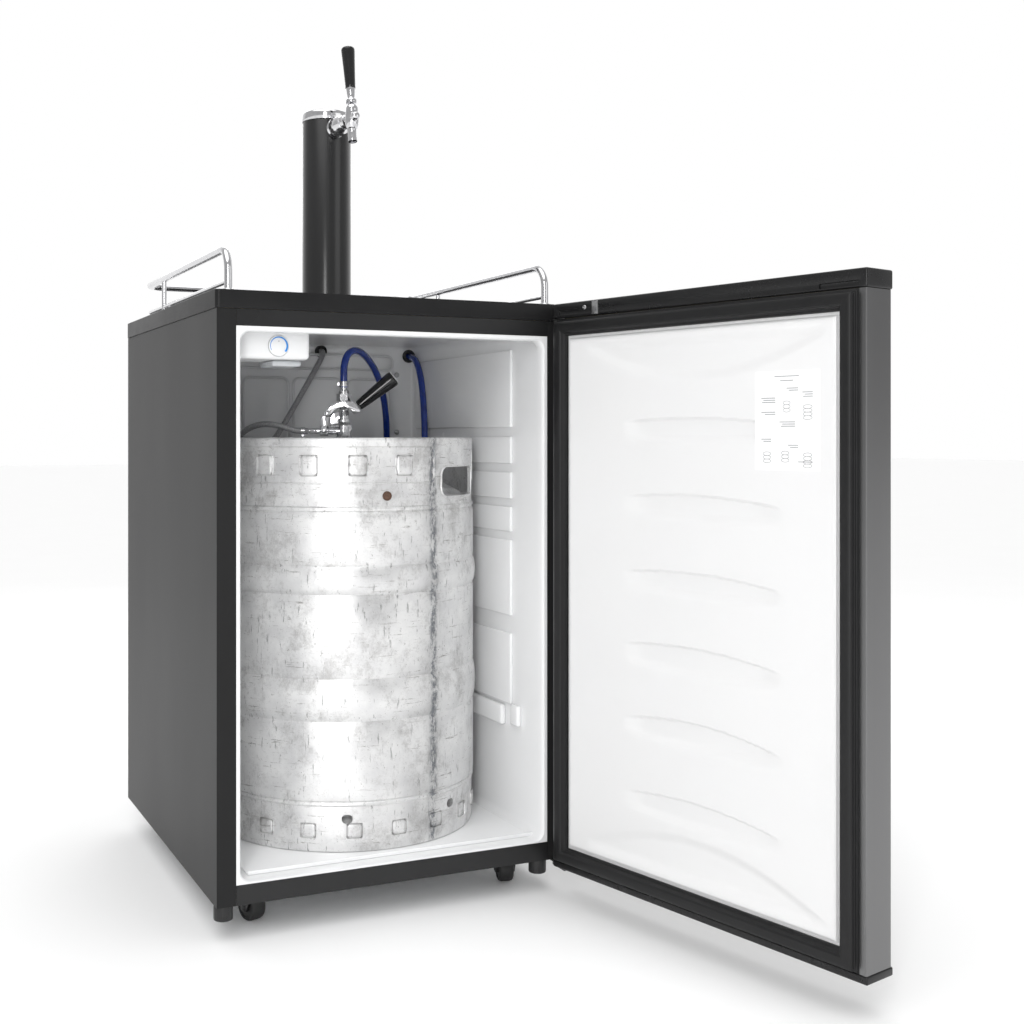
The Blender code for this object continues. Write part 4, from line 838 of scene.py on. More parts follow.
def chime_cutter(angle, low_z, high_z, half_width, radius):
    """Round-cornered block that cuts a hole through the chime in one direction."""
    cutter = block("cutter", (0.160, -half_width, low_z), (0.230, half_width, high_z))
    for edge in cutter.data.edges:
        a, b = (cutter.data.vertices[i].co for i in edge.vertices)
        edge.select = abs(a.x - b.x) > 0.01
    bpy.ops.object.mode_set(mode="EDIT")
    bpy.ops.mesh.select_mode(type="EDGE")
    bpy.ops.object.mode_set(mode="OBJECT")
    for edge in cutter.data.edges:
        a, b = (cutter.data.vertices[i].co for i in edge.vertices)
        edge.select = abs(a.x - b.x) > 0.01
    bpy.ops.object.mode_set(mode="EDIT")
    bpy.ops.mesh.bevel(offset=radius, segments=8, affect="EDGES")
    bpy.ops.object.mode_set(mode="OBJECT")
    cutter.matrix_world = Matrix.Rotation(angle, 4, "Z")
    settle(cutter)
    return cutter


for turn in (61.5, -118.5):
    cut(keg, chime_cutter(FACING + math.radians(turn), 0.561, 0.603, 0.0520, 0.013))
for turn in (1.3, 51.7, 181.3, 231.7):
    cut(keg, chime_cutter(FACING + math.radians(turn), 0.1165, 0.1285, 0.0075, 0.0055))
KEG = CABINET @ Matrix.Translation((KEG_X, KEG_Y, 0))
keg_skin = keg_metal()
placed(keg, keg_skin, "cabinet", "keg_metal", "keg", place=KEG, angle=30)


def bent(piece, radius, direction):
    """Wraps a flat piece, modelled on X = 0 with Y across and Z up, round the keg in one direction."""
    for vertex in piece.data.vertices:
        out, across, up = vertex.co
        angle = direction + across / radius
        vertex.co = ((radius + out) * math.cos(angle), (radius + out) * math.sin(angle), up)
    return piece


def pad(name, direction, low_z, high_z, half_width, proud, corner, radius=CHIME_R + 0.0005):
    """Pressed square on a chime: a round-cornered pad with soft edges."""
    piece = block(name, (-0.0012, -half_width, low_z), (proud, half_width, high_z))
    bpy.ops.object.mode_set(mode="EDIT")
    bpy.ops.mesh.select_mode(type="EDGE")
    bpy.ops.object.mode_set(mode="OBJECT")
    for edge in piece.data.edges:
        a, b = (piece.data.vertices[i].co for i in edge.vertices)
        edge.select = abs(a.x - b.x) > 0.0001
    bpy.ops.object.mode_set(mode="EDIT")
    bpy.ops.mesh.bevel(offset=corner, segments=5, affect="EDGES")
    bpy.ops.mesh.select_mode(type="FACE")
    bpy.ops.object.mode_set(mode="OBJECT")
    for face in piece.data.polygons:
        face.select = face.normal.x > 0.9
    bpy.ops.object.mode_set(mode="EDIT")
    bpy.ops.mesh.bevel(offset=proud * 0.9, segments=3, affect="EDGES")
    for step in range(-3, 4):
        bpy.ops.mesh.select_all(action="SELECT")
        bpy.ops.mesh.bisect(plane_co=(0, step * half_width / 3.5, 0), plane_no=(0, 1, 0))
    bpy.ops.object.mode_set(mode="OBJECT")
    return bent(piece, radius, direction)


pads = []
for base in (0, 180):
    for turn in (25.6, 5.5, -14.5, -34.4, -54.5, -74.5):
        pads.append(pad("upper_pad", FACING + math.radians(turn + base), 0.5915, 0.6205, 0.0128, 0.0021, 0.004))
for number in range(19):
    pads.append(pad("lower_pad", FACING + math.radians(4.3 + 360 / 19 * number), 0.0965, 0.1165, 0.0108, 0.0018,
                    0.003))


def chime_line(name, start, end, low_z, high_z, radius_now, corner=0.007, proud=0.0011):
    """Raised line pressed round a stretch of the chime, as a closed loop with round corners."""
    half = math.radians(end - start) / 2 * radius_now
    flat = loop_path((-half, low_z), (half, high_z), corner, 0.0, 5)
    fine = []
    for a, b in zip(flat, [*flat[1:], flat[0]]):
        parts = max(1, round((Vector(b) - Vector(a)).length / 0.006))
        fine += [Vector(a).lerp(Vector(b), part / parts) for part in range(parts)]
    middle = FACING + math.radians((start + end) / 2)
    points = [((radius_now + 0.0002) * math.cos(middle + p.x / radius_now),
               (radius_now + 0.0002) * math.sin(middle + p.x / radius_now), p.z) for p in fine]
    return tube(name, points, proud, True, 2)


lines = [chime_line("frame_line", -98 + base, 41 + base, 0.5815, 0.6315, CHIME_R + 0.0005) for base in (0, 180)]
for turn in (61.5, -118.5):
    span = math.degrees(0.0535 / CHIME_R)
    lines.append(chime_line("hole_lip", turn - span, turn + span, 0.5600, 0.6040, CHIME_R + 0.0002, 0.0140,
                            0.0016))
placed(joined("keg_pressings", *pads, *lines), keg_skin, "cabinet", "keg_metal", place=KEG, angle=50)
plug_hole = turned("keg_rivet", [(0, -0.001), (0.0066, -0.001), (0.0066, 0.0008), (0.0052, 0.0012),
                                 (0.0048, 0.0002), (0, 0.0001)],
                   segments=32)
turn = FACING + math.radians(17.9)
plug_hole.matrix_world = (Matrix.Rotation(turn, 4, "Z") @ Matrix.Translation((CHIME_R + 0.0006, 0, 0.5640))
                          @ Matrix.Rotation(math.radians(90), 4, "Y"))
settle(plug_hole)
rust = surface("rust_brown", (0.16, 0.09, 0.06), (0.07, 0.04, 0.03), (0.6, 0.8), metallic=0.2, scale=300,
               bump=0.3)
placed(plug_hole, rust, "cabinet", "keg_metal", place=KEG)
neck_ring = turned("keg_valve_ring", [(0, 0.6263), (0.022, 0.6263), (0.022, 0.6285), (0.0205, 0.6305),
                                      (0.0180, 0.6308),
                                      (0, 0.6308)], segments=64)
placed(neck_ring, chrome, "cabinet", "chrome", "keg_valve", place=KEG)

# ------------------------------------------------------------------ door
# Modelled shut, in the closed door's place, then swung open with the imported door: a brushed steel skin, a white
# inner panel pressed with shallow scoops and ribs, a black magnetic gasket, and black end caps.
PIVOT_X, PIVOT_Y, DOOR_OPEN = 0.4928, -0.0251, math.radians(103.1)
DOOR_IN, DOOR_OUT = -0.0141, -0.0625
DOOR = (CABINET @ Matrix.Translation((PIVOT_X, PIVOT_Y, 0)) @ Matrix.Rotation(DOOR_OPEN, 4, "Z")
        @ Matrix.Translation((-PIVOT_X, -PIVOT_Y, 0)))
brushed = surface("brushed_steel", (0.215, 0.215, 0.217), (0.155, 0.155, 0.157), (0.24, 0.34), metallic=1.0,
                  scale=4,
                  stretch=(1, 1, 1), bump=0.12, bump_scale=900, bump_depth=0.0002)
nodes, links = brushed.node_tree.nodes, brushed.node_tree.links
for mapping in [node for node in nodes if node.type == "MAPPING"]:
    mapping.inputs["Scale"].default_value = (1.0, 1.0, 0.012)


def extruded(name, outline, low_z, high_z):
    """Straight bar of the given outline, drawn up from one level to another."""
    mesh = bpy.data.meshes.new(name)
    mesh.from_pydata([(x, y, low_z) for x, y in outline], [], [list(range(len(outline)))])
    piece = bpy.data.objects.new(name, mesh)
    bpy.context.collection.objects.link(piece)
    only(piece)
    bpy.ops.object.mode_set(mode="EDIT")
    bpy.ops.mesh.select_all(action="SELECT")
    bpy.ops.mesh.extrude_region_move(TRANSFORM_OT_translate={"value": (0, 0, high_z - low_z)})
    close_edit()
    return piece


def corner_arc(x, y, radius, start, end, steps=6):
    """Points of a rounded corner in plan."""
    return [(x + radius * math.cos(math.radians(start + (end - start) * step / steps)),
             y + radius * math.sin(math.radians(start + (end - start) * step / steps))) for step in range(steps + 1)]


R, T = 0.004, 0.001
skin_outline = [(0.009, DOOR_IN - T), (0.009, DOOR_IN), (T, DOOR_IN), (0, DOOR_IN - T),
                *corner_arc(R, DOOR_OUT + R, R, 180, 270), *corner_arc(WIDTH - R, DOOR_OUT + R, R, 270, 360),
                (WIDTH, DOOR_IN - T), (WIDTH - T, DOOR_IN), (WIDTH - 0.009, DOOR_IN),
                (WIDTH - 0.009, DOOR_IN - T),
                (WIDTH - T, DOOR_IN - T), *corner_arc(WIDTH - R, DOOR_OUT + R, R - T, 360, 270),
                *corner_arc(R, DOOR_OUT + R, R - T, 270, 180), (T, DOOR_IN - T)]
placed(extruded("door_skin", skin_outline, 0.0523, 0.8095), brushed, "door", "stainless", "door_skin",
       place=DOOR, angle=40)

PANEL_X, PANEL_Z = (0.0345, 0.4705), (0.0785, 0.7825)


def panel_relief(x, z):
    """Height of the inner panel's face over its edge level, in metres."""
    across = min(x - PANEL_X[0], PANEL_X[1] - x)
    up = min(z - PANEL_Z[0], PANEL_Z[1] - z)
    edge = min(across, up)
    rise = 0.0075 * (1 - (1 - min(edge, 0.007) / 0.007) ** 2) ** 0.5
    side = (x - 0.240) / 0.190
    for level, way in ((0.7127, 1), (0.1480, -1)):
        scoop = (z - (level + way * 0.0465 * side * side)) * way
        if scoop > 0 and abs(side) < 1.05:
            fade = min(scoop / 0.016, 1.0) * min(max((up - 0.009) / 0.014, 0.0),
                                                 1.0) * min((1.05 - abs(side)) / 0.08, 1.0)
            rise -= 0.0050 * fade * fade * (3 - 2 * fade)
    s = (x - 0.235) / 0.132
    for ends, arch, under in ((0.6625, 0.0075, 0.6395), (0.5650, 0.0085, 0.5420), (0.4668, 0.0095, 0.4460),
                              (0.3718, 0.0105, 0.3487), (0.2743, 0.0150, 0.2567), (0.1780, 0.0120, 0.1588)):
        top, bottom = ends + arch * (1 - s * s) + 0.0030 * s, under - 0.0045 * (1 - s * s)
        if abs(s) < 1 and bottom < z < top:
            sharp = min((top - z) / 0.0028, 1.0)
            soft = min((z - bottom) / 0.012, 1.0)
            end = min((1 - abs(s)) / 0.30, 1.0)
            rise -= 0.0040 * sharp * soft * soft * (3 - 2 * soft) * end * end * (3 - 2 * end)
    return rise


deselect()
bpy.ops.mesh.primitive_grid_add(x_subdivisions=200, y_subdivisions=400, size=1, location=(0, 0, 0))
panel = bpy.context.object
panel.name = panel.data.name = "door_inner_panel"
for vertex in panel.data.vertices:
    x = PANEL_X[0] + (vertex.co.x + 0.5) * (PANEL_X[1] - PANEL_X[0])
    z = PANEL_Z[0] + (vertex.co.y + 0.5) * (PANEL_Z[1] - PANEL_Z[0])
    vertex.co = (x, -0.0160 + panel_relief(x, z), z)
bpy.ops.object.mode_set(mode="EDIT")
bpy.ops.mesh.select_all(action="SELECT")
bpy.ops.mesh.flip_normals()
bpy.ops.mesh.extrude_region_move(TRANSFORM_OT_translate={"value": (0, 0, 0)})
bpy.ops.transform.resize(value=(1, 0, 1), center_override=(0, -0.0168, 0))
close_edit()
door_white = surface("door_white", (0.80, 0.80, 0.80), (0.795, 0.795, 0.798), (0.30, 0.315), scale=5, bump=0.04,
                     bump_scale=500)
flange = block("panel_flange", (0.0115, -0.0180, 0.0550), (0.4935, -0.0144, 0.8060), 0.0004, 1)
placed(joined("door_inner_panel", panel, flange), door_white, "door", "white_liner", "door_liner", place=DOOR,
       angle=30)

# Sticker: a glossy sheet printed in grey with plain line drawings of kegs and short rules.
sheet_white = surface("sheet_white", (0.93, 0.93, 0.935), (0.91, 0.91, 0.915), (0.12, 0.18), scale=20,
                      bump=0.02)
print_grey = surface("print_grey", (0.30, 0.30, 0.31), (0.22, 0.22, 0.23), (0.4, 0.5), scale=200, bump=0.02)
SHEET_Y = -0.0085
placed(block("door_sheet", (0.056, SHEET_Y - 0.0002, 0.606), (0.1475, SHEET_Y + 0.0002, 0.722)), sheet_white,
       "door",
       "white_liner", place=DOOR)
prints = [block("rule", (x, SHEET_Y, z), (x + wide, SHEET_Y + 0.00035, z + 0.0008)) for x, z, wide in [
    (0.085, 0.7150, 0.034), (0.093, 0.7100, 0.018), (0.066, 0.6960, 0.014), (0.066, 0.6935, 0.011),
    (0.066, 0.6910, 0.013),
    (0.086, 0.7010, 0.016), (0.086, 0.6985, 0.013), (0.118, 0.6900, 0.020), (0.118, 0.6875, 0.017),
    (0.118, 0.6850, 0.019),
    (0.118, 0.6735, 0.020), (0.118, 0.6710, 0.015), (0.090, 0.6620, 0.022), (0.090, 0.6595, 0.018),
    (0.090, 0.6570, 0.020),
    (0.124, 0.6420, 0.014), (0.124, 0.6395, 0.011), (0.086, 0.6350, 0.014), (0.086, 0.6325, 0.011),
    (0.066, 0.6160, 0.020),
]]
for x, z, levels, radius in ((0.073, 0.667, 4, 0.0062), (0.073, 0.612, 4, 0.0058), (0.102, 0.676, 3, 0.0050),
                             (0.104, 0.618, 3, 0.0054),
                             (0.130, 0.617, 3, 0.0054)):
    for level in range(levels):
        ring = [(x + radius * math.cos(math.tau * s / 20), SHEET_Y + 0.0002,
                 z + 0.0042 * level + 0.0022 * math.sin(math.tau * s / 20))
                for s in range(20)]
        prints.append(tube("ring", ring, 0.00028, True, 1))
placed(joined("sheet_print", *prints), print_grey, "door", "white_liner", place=DOOR)

# Gasket: one ribbed black profile run round all four sides, its corners mitred, pressed into a thin retainer.
GASKET = ((0.0100, 0.0535), (0.4950, 0.8075))
profile = [(0.0000, -0.0137), (0.0008, -0.0118), (0.0030, -0.0112), (0.0038, -0.0086), (0.0022, -0.0062),
           (0.0034, -0.0034),
           (0.0060, -0.0022), (0.0105, -0.0017), (0.0150, -0.0022), (0.0172, -0.0038), (0.0178, -0.0062),
           (0.0192, -0.0088),
           (0.0215, -0.0094), (0.0222, -0.0116), (0.0224, -0.0137)]
verts, faces = [], []
(x0, z0), (x1, z1) = GASKET
for inset, depth in profile:
    verts += [(x0 + inset, depth, z0 + inset), (x1 - inset, depth, z0 + inset), (x1 - inset, depth, z1 - inset),
              (x0 + inset, depth, z1 - inset)]
count = len(profile)
for step in range(count):
    for side in range(4):
        a, b = step * 4 + side, step * 4 + (side + 1) % 4
        c, d = ((step + 1) % count) * 4 + (side + 1) % 4, ((step + 1) % count) * 4 + side
        faces.append((a, b, c, d))
mesh = bpy.data.meshes.new("door_seal")
mesh.from_pydata(verts, [], faces)
seal = bpy.data.objects.new("door_seal", mesh)
bpy.context.collection.objects.link(seal)
only(seal)
bpy.ops.object.mode_set(mode="EDIT")
close_edit()
soften(seal, 0.0004, 2, 25)
(sx0, sz0), (sx1, sz1) = (0.0091, 0.0525), (0.4959, 0.8093)
strips = [block("retainer", low, high, 0.0002, 1) for low, high in [
    ((sx0, -0.0150, sz0), (sx0 + 0.0040, -0.0138, sz1)), ((sx1 - 0.0040, -0.0150, sz0), (sx1, -0.0138, sz1)),
    ((sx0 + 0.0040, -0.0150, sz0), (sx1 - 0.0040, -0.0138, sz0 + 0.0040)),
    ((sx0 + 0.0040, -0.0150, sz1 - 0.0040), (sx1 - 0.0040, -0.0138, sz1)),
]]
seal = joined("door_seal", seal, *strips)
gasket_black = surface("gasket_black", (0.011, 0.011, 0.0115), (0.008, 0.008, 0.0085), (0.36, 0.5), scale=30,
                       bump=0.1,
                       bump_scale=800, specular=0.32)
placed(seal, gasket_black, "door", "rubber", "door_gasket", place=DOOR, angle=60)

# End caps: black mouldings, the top one with a recess by the hinge, a steel catch plate with its screw, and a slot.
cap_black = surface("cap_black", (0.013, 0.013, 0.0135), (0.010, 0.010, 0.0105), (0.24, 0.32), scale=20,
                    bump=0.1,
                    bump_scale=900, specular=0.36)
cap = block("door_top_cap", (-0.0008, DOOR_OUT - 0.0008, 0.8098), (WIDTH, DOOR_IN, 0.8318), 0.0025, 4)
cut(cap, block("leaf_slot", (PIVOT_X - 0.0105, PIVOT_Y - 0.0215, 0.790), (WIDTH + 0.01, 0.0, 0.8122)),
    block("hinge_recess", (0.4541, DOOR_IN - 0.0020, 0.8152), (0.4921, 0.0, 0.8215), 0.001, 2),
    block("pull_slot", (0.008, DOOR_IN - 0.0030, 0.8125), (0.062, 0.0, 0.8185), 0.0015, 2))
soften(cap, 0.0004, 2, 50)
placed(cap, cap_black, "door", "black_plastic", "door_top_cap", place=DOOR)
catch = block("catch_plate", (0.4160, DOOR_IN - 0.0010, 0.8120), (0.4270, DOOR_IN + 0.0008, 0.8300), 0.0003, 2)
placed(catch, zinc, "door", "galvanised", place=DOOR)
placed(screw("cap_screw", (0.4414, DOOR_IN, 0.8225), 0.0032, "Y"), zinc, "door", "galvanised", place=DOOR)
cap = block("door_bottom_cap", (-0.0008, DOOR_OUT - 0.0008, 0.0421), (WIDTH, DOOR_IN, 0.0520), 0.0020, 4)
cut(cap, turned("pin_hole", [(0, 0.03), (0.0036, 0.03), (0.0036, 0.07), (0, 0.07)], (PIVOT_X, PIVOT_Y, 0),
                segments=32))
placed(cap, cap_black, "door", "black_plastic", "door_bottom_cap", place=DOOR)

# ------------------------------------------------------------------ hinges
# Black steel leaves on the cabinet carry the door on pins above and below; the lower leaf is held by two screws.
hinge_black = surface("hinge_steel", (0.045, 0.045, 0.046), (0.032, 0.032, 0.033), (0.26, 0.36), metallic=0.6,
                      scale=50,
                      bump=0.08, bump_scale=700)
tip = [(PIVOT_X + 0.0095 * math.cos(math.radians(180 + 15 * step)),
        PIVOT_Y + 0.0095 * math.sin(math.radians(180 + 15 * step)))
       for step in range(13)]
leaf = extruded("hinge_leaf", [*tip, (PIVOT_X + 0.0095, 0.031), (PIVOT_X - 0.0095, 0.031)], 0.8100, 0.8118)
soften(leaf, 0.0003, 2)
pin = turned("hinge_pin", [(0, 0.794), (0.0022, 0.794), (0.0030, 0.7952), (0.0030, 0.8113), (0, 0.8113)],
             (PIVOT_X, PIVOT_Y, 0), segments=32)
placed(joined("top_hinge", leaf, pin), hinge_black, "cabinet", "black_steel", "top_hinge_bracket")
under, low_top = 0.0457, 0.0416
side = [(0.060, under), (-0.0043, under), (-0.0043, low_top), (-0.0346, low_top), (-0.0346, low_top - 0.002),
        (-0.0020, low_top - 0.002), (-0.0020, under - 0.002), (0.060, under - 0.002)]
strap = extruded("hinge_strap", side, 0.0, 0.0170)
strap.matrix_world = Matrix(((0, 0, 1, 0.4865), (1, 0, 0, 0), (0, 1, 0, 0), (0, 0, 0, 1)))
settle(strap)
soften(strap, 0.0003, 2)
pin = turned("hinge_pin", [(0, 0.0405), (0.0030, 0.0405), (0.0030, 0.0568), (0.0022, 0.0580), (0, 0.0580)],
             (PIVOT_X, PIVOT_Y, 0), segments=32)
placed(joined("bottom_hinge", strap, pin), hinge_black, "cabinet", "black_steel", "bottom_hinge_bracket")
placed(joined("hinge_screws", screw("hinge_screw", (0.4950, 0.0180, under - 0.002), 0.0034, "-Z"),
              screw("hinge_screw", (0.4950, 0.0440, under - 0.002), 0.0034, "-Z")), zinc, "cabinet",
       "black_steel")

# ------------------------------------------------------------------ draft tower and faucet
# Black column with a flange held by screws, a polished cap, and a chrome faucet on a shank through the column.
tower_black = surface("tower_black", (0.012, 0.012, 0.0125), (0.010, 0.010, 0.0105), (0.20, 0.23), scale=8,
                      bump=0.05, bump_scale=1200, specular=0.62)
low = TOP_Z + 0.0003
column = turned("tower_column", [(0.0355, low), (0.0505, low), (0.0518, low + 0.0006), (0.0520, low + 0.0020),
                                 (0.0515, low + 0.0036), (0.0500, low + 0.0046), (0.0480, low + 0.0056),
                                 (0.0400, low + 0.0062), (0.0382, low + 0.0070), (0.0375, low + 0.0090),
                                 (0.0375, 1.1303), (0.0371, 1.1310), (0.0355, 1.1310)],
                (TOWER_X, TOWER_Y, 0), segments=96, closed=True)
cut(column, turned("shank_hole", [(0, 0.22), (0.0114, 0.22), (0.0114, 0.28), (0, 0.28)], (TOWER_X, 0, SHANK_Z),
                   "Y", 48))
placed(column, tower_black, "cabinet", "black_steel", "tower_column", angle=40)
placed(joined("tower_screws", *[screw("tower_screw", (TOWER_X + 0.0445 * math.cos(math.radians(a)),
                                                      TOWER_Y + 0.0445 * math.sin(math.radians(a)),
                                                      low + 0.0058), 0.0028, "Z")
                                for a in (45, 135, 225, 315)]), zinc, "cabinet", "black_steel")
cap = turned("tower_cap", [(0, 1.1283), (0.0352, 1.1283), (0.0352, 1.1313), (0.0382, 1.1313), (0.0385, 1.1317),
                           (0.0385, 1.1400), (0.0382, 1.1424), (0.0374, 1.1442), (0.0360, 1.1454),
                           (0.0335, 1.1461),
                           (0.0240, 1.1465), (0, 1.1466)], (TOWER_X, TOWER_Y, 0), segments=96)
placed(cap, chrome, "cabinet", "chrome", "tower_cap", angle=40)

at_shank = (TOWER_X, 0, SHANK_Z)
shank = turned("faucet_shank", [(0, 0.2680), (0.0075, 0.2680), (0.0080, 0.2660), (0.0110, 0.2640),
                                (0.0110, 0.2535),
                                (0.0138, 0.2530), (0.0148, 0.2519), (0.0150, 0.2505), (0.0146, 0.2490),
                                (0.0136, 0.2474),
                                (0.0122, 0.2460), (0.0110, 0.2452), (0, 0.2452)], at_shank, "Y", 64)
placed(shank, chrome, "cabinet", "chrome", "faucet_shank", angle=40)
nut = turned("faucet_nut", [(0, 0.2449), (0.0120, 0.2449), (0.0140, 0.2443), (0.0146, 0.2430), (0.0146, 0.2300),
                            (0.0144, 0.2262), (0.0138, 0.2230), (0.0128, 0.2190), (0.0117, 0.2150),
                            (0.0111, 0.2118),
                            (0.0108, 0.2098), (0, 0.2098)], at_shank, "Y", 96)
notches = []
for number in range(12):
    angle = math.tau * number / 12
    notches.append(turned("notch", [(0, 0.2285), (0.0014, 0.2285), (0.0014, 0.2460), (0, 0.2460)],
                          (TOWER_X + 0.0152 * math.cos(angle), 0, SHANK_Z + 0.0152 * math.sin(angle)), "Y", 16))
cut(nut, *notches)
placed(nut, chrome, "cabinet", "chrome", "faucet_coupling_nut", angle=40)

FAUCET_Y, LEVER_Z = 0.182, 1.128
stub = turned("stub", [(0, 0.2095), (0.0102, 0.2095), (0.0104, 0.2070), (0.0092, 0.2050), (0.0088, 0.1990),
                       (0.0096, 0.1940), (0.0100, 0.1880), (0.0100, FAUCET_Y), (0, FAUCET_Y)], at_shank, "Y",
              64)
barrel = turned("barrel", [(0, 1.0990), (0.0066, 1.0992), (0.0080, 1.1002), (0.0090, 1.1030), (0.0098, 1.1070),
                           (0.0103, 1.1110), (0.0104, 1.1155), (0.0102, 1.1195), (0.0097, 1.1230),
                           (0.0094, 1.1262),
                           *arc_points((0.0, LEVER_Z), 0.0094, 0, 90, 10)], (TOWER_X, FAUCET_Y, 0), segments=64)
knob_end = turned("knob", [(0, FAUCET_Y), (0.0062, FAUCET_Y), (0.0062, 0.1662), (0.0058, 0.1645),
                           (0.0047, 0.1632),
                           (0.0036, 0.1624), (0, 0.1620)], at_shank, "Y", 48)


def swept(name, points, radii, segments=32):
    """Solid of round sections along a path, each with its own radius."""
    deselect()
    verts, faces = [], []
    points = [Vector(point) for point in points]
    for number, (point, radius) in enumerate(zip(points, radii)):
        ahead = points[min(number + 1, len(points) - 1)] - points[max(number - 1, 0)]
        turn = ahead.to_track_quat("Z", "X")
        verts += [point + turn @ Vector((radius * math.cos(math.tau * s / segments),
                                         radius * math.sin(math.tau * s / segments), 0))
                  for s in range(segments)]
    for ring in range(len(points) - 1):
        for s in range(segments):
            a, b = ring * segments + s, ring * segments + (s + 1) % segments
            faces.append((a, b, b + segments, a + segments))
    faces += [list(range(segments)), list(range((len(points) - 1) * segments, len(points) * segments))]
    mesh = bpy.data.meshes.new(name)
    mesh.from_pydata(verts, [], faces)
    piece = bpy.data.objects.new(name, mesh)
    bpy.context.collection.objects.link(piece)
    only(piece)
    bpy.ops.object.mode_set(mode="EDIT")
    close_edit()
    return piece


spout = swept("spout", [(TOWER_X, 0.1822, 1.110), (TOWER_X, 0.1820, 1.103), (TOWER_X, 0.1818, 1.098),
                        (TOWER_X, 0.1814, 1.094),
                        (TOWER_X, 0.1808, 1.0905), (TOWER_X, 0.1801, 1.087), (TOWER_X, 0.1782, 1.080)],
              [0.0072, 0.0070, 0.0068, 0.0066, 0.0066, 0.0066, 0.0067])
cut(stub, barrel, knob_end, spout, operation="UNION")
cut(stub, swept("bore", [(TOWER_X, 0.1806, 1.0885), (TOWER_X, 0.1801, 1.087), (TOWER_X, 0.1762, 1.0730)],
                [0.0052, 0.0053, 0.0054]))
stub.name = stub.data.name = "faucet"
soften(stub, 0.0003, 2, 50)
placed(stub, chrome, "cabinet", "chrome", "faucet_body", angle=40)

LEVER = CABINET @ Matrix.Translation((TOWER_X, FAUCET_Y, LEVER_Z)) @ Matrix.Rotation(-math.radians(10.3), 4,
                                                                                     "X")
collar = turned("faucet_collar", [(0, 0.0098), (0.0072, 0.0098), (0.0081, 0.0104), (0.0083, 0.0112),
                                  (0.0083, 0.0138),
                                  (0.0079, 0.0148), (0.0070, 0.0158), (0.0060, 0.0165), (0.0056, 0.0174),
                                  (0.0056, 0.0190), (0.0058, 0.0212), (0.0064, 0.0270), (0.0070, 0.0318),
                                  (0.0069, 0.0325), (0, 0.0325)], segments=64)
placed(collar, chrome, "faucet_handle", "chrome", "faucet_lever", place=LEVER, angle=40)
handle_black = surface("handle_black", (0.008, 0.008, 0.0085), (0.006, 0.006, 0.0065), (0.10, 0.16), scale=60,
                       bump=0.02,
                       bump_scale=400, coat=0.25)
handle = turned("tap_handle", [(0, 0.0328), (0.0068, 0.0328), (0.0075, 0.0334), (0.0075, 0.0360),
                               (0.0077, 0.0400),
                               (0.0086, 0.0600), (0.0096, 0.0800), (0.0103, 0.0910), (0.0103, 0.0932),
                               (0.0100, 0.0948),
                               (0.0093, 0.0959), (0.0080, 0.0967), (0.0050, 0.0971), (0, 0.0972)], segments=64)
placed(handle, handle_black, "faucet_handle", "black_plastic", "tap_handle", place=LEVER, angle=50)

# ------------------------------------------------------------------ guard rail
# Chrome tube bent round three sides of the worktop, with a thinner rod below it and posts, each on a small foot.
RAIL_X, RAIL_Y, RAIL_Z, ROD_Z = (0.020, 0.485), (0.018, 0.505), 0.8895, 0.846


def filleted(corners, radii, steps=10):
    """Corner points with the inner ones rounded off by arcs."""
    corners = [Vector(corner) for corner in corners]
    points = [corners[0]]
    for before, corner, after, radius in zip(corners, corners[1:], corners[2:], radii):
        start, end = (before - corner).normalized(), (after - corner).normalized()
        half = start.angle(end) / 2
        reach = radius / math.tan(half)
        centre = corner + (start + end).normalized() * (radius / math.sin(half))
        first, last = corner + start * reach - centre, corner + end * reach - centre
        for step in range(steps + 1):
            points.append(centre + first.normalized().slerp(last.normalized(), step / steps) * radius)
    return [*points, corners[-1]]


foot_z = TOP_Z + 0.0003
(left, right), (front, rear) = RAIL_X, RAIL_Y
rail = tube("rail", filleted([(left, front, foot_z), (left, front, RAIL_Z), (left, rear, RAIL_Z),
                              (right, rear, RAIL_Z),
                              (right, front, RAIL_Z), (right, front, foot_z)], [0.030, 0.025, 0.025, 0.030]),
            0.0052, False, 8)
rod = tube("rod", filleted([(left, front, ROD_Z), (left, rear, ROD_Z), (right, rear, ROD_Z),
                            (right, front, ROD_Z)],
                           [0.025, 0.025]), 0.0030, False, 6)
posts = [turned("post", [(0, foot_z), (0.0036, foot_z), (0.0036, RAIL_Z), (0, RAIL_Z)], (x, y, 0), segments=24)
         for x, y in ((left, 0.385), (right, 0.385), (0.130, rear), (0.375, rear))]
feet = [turned("rail_foot", [(0, foot_z), (0.0085, foot_z), (0.0088, foot_z + 0.0006),
                             (0.0082, foot_z + 0.0016),
                             (0.0062, foot_z + 0.0024), (0.0054, foot_z + 0.0032), (0, foot_z + 0.0032)],
               (x, y, 0), segments=40)
        for x, y in ((left, front), (right, front), (left, 0.385), (right, 0.385), (0.130, rear),
                     (0.375, rear))]
placed(joined("guard_rail", rail, rod, *posts, *feet), chrome, "cabinet", "chrome", "guard_rail", angle=45)

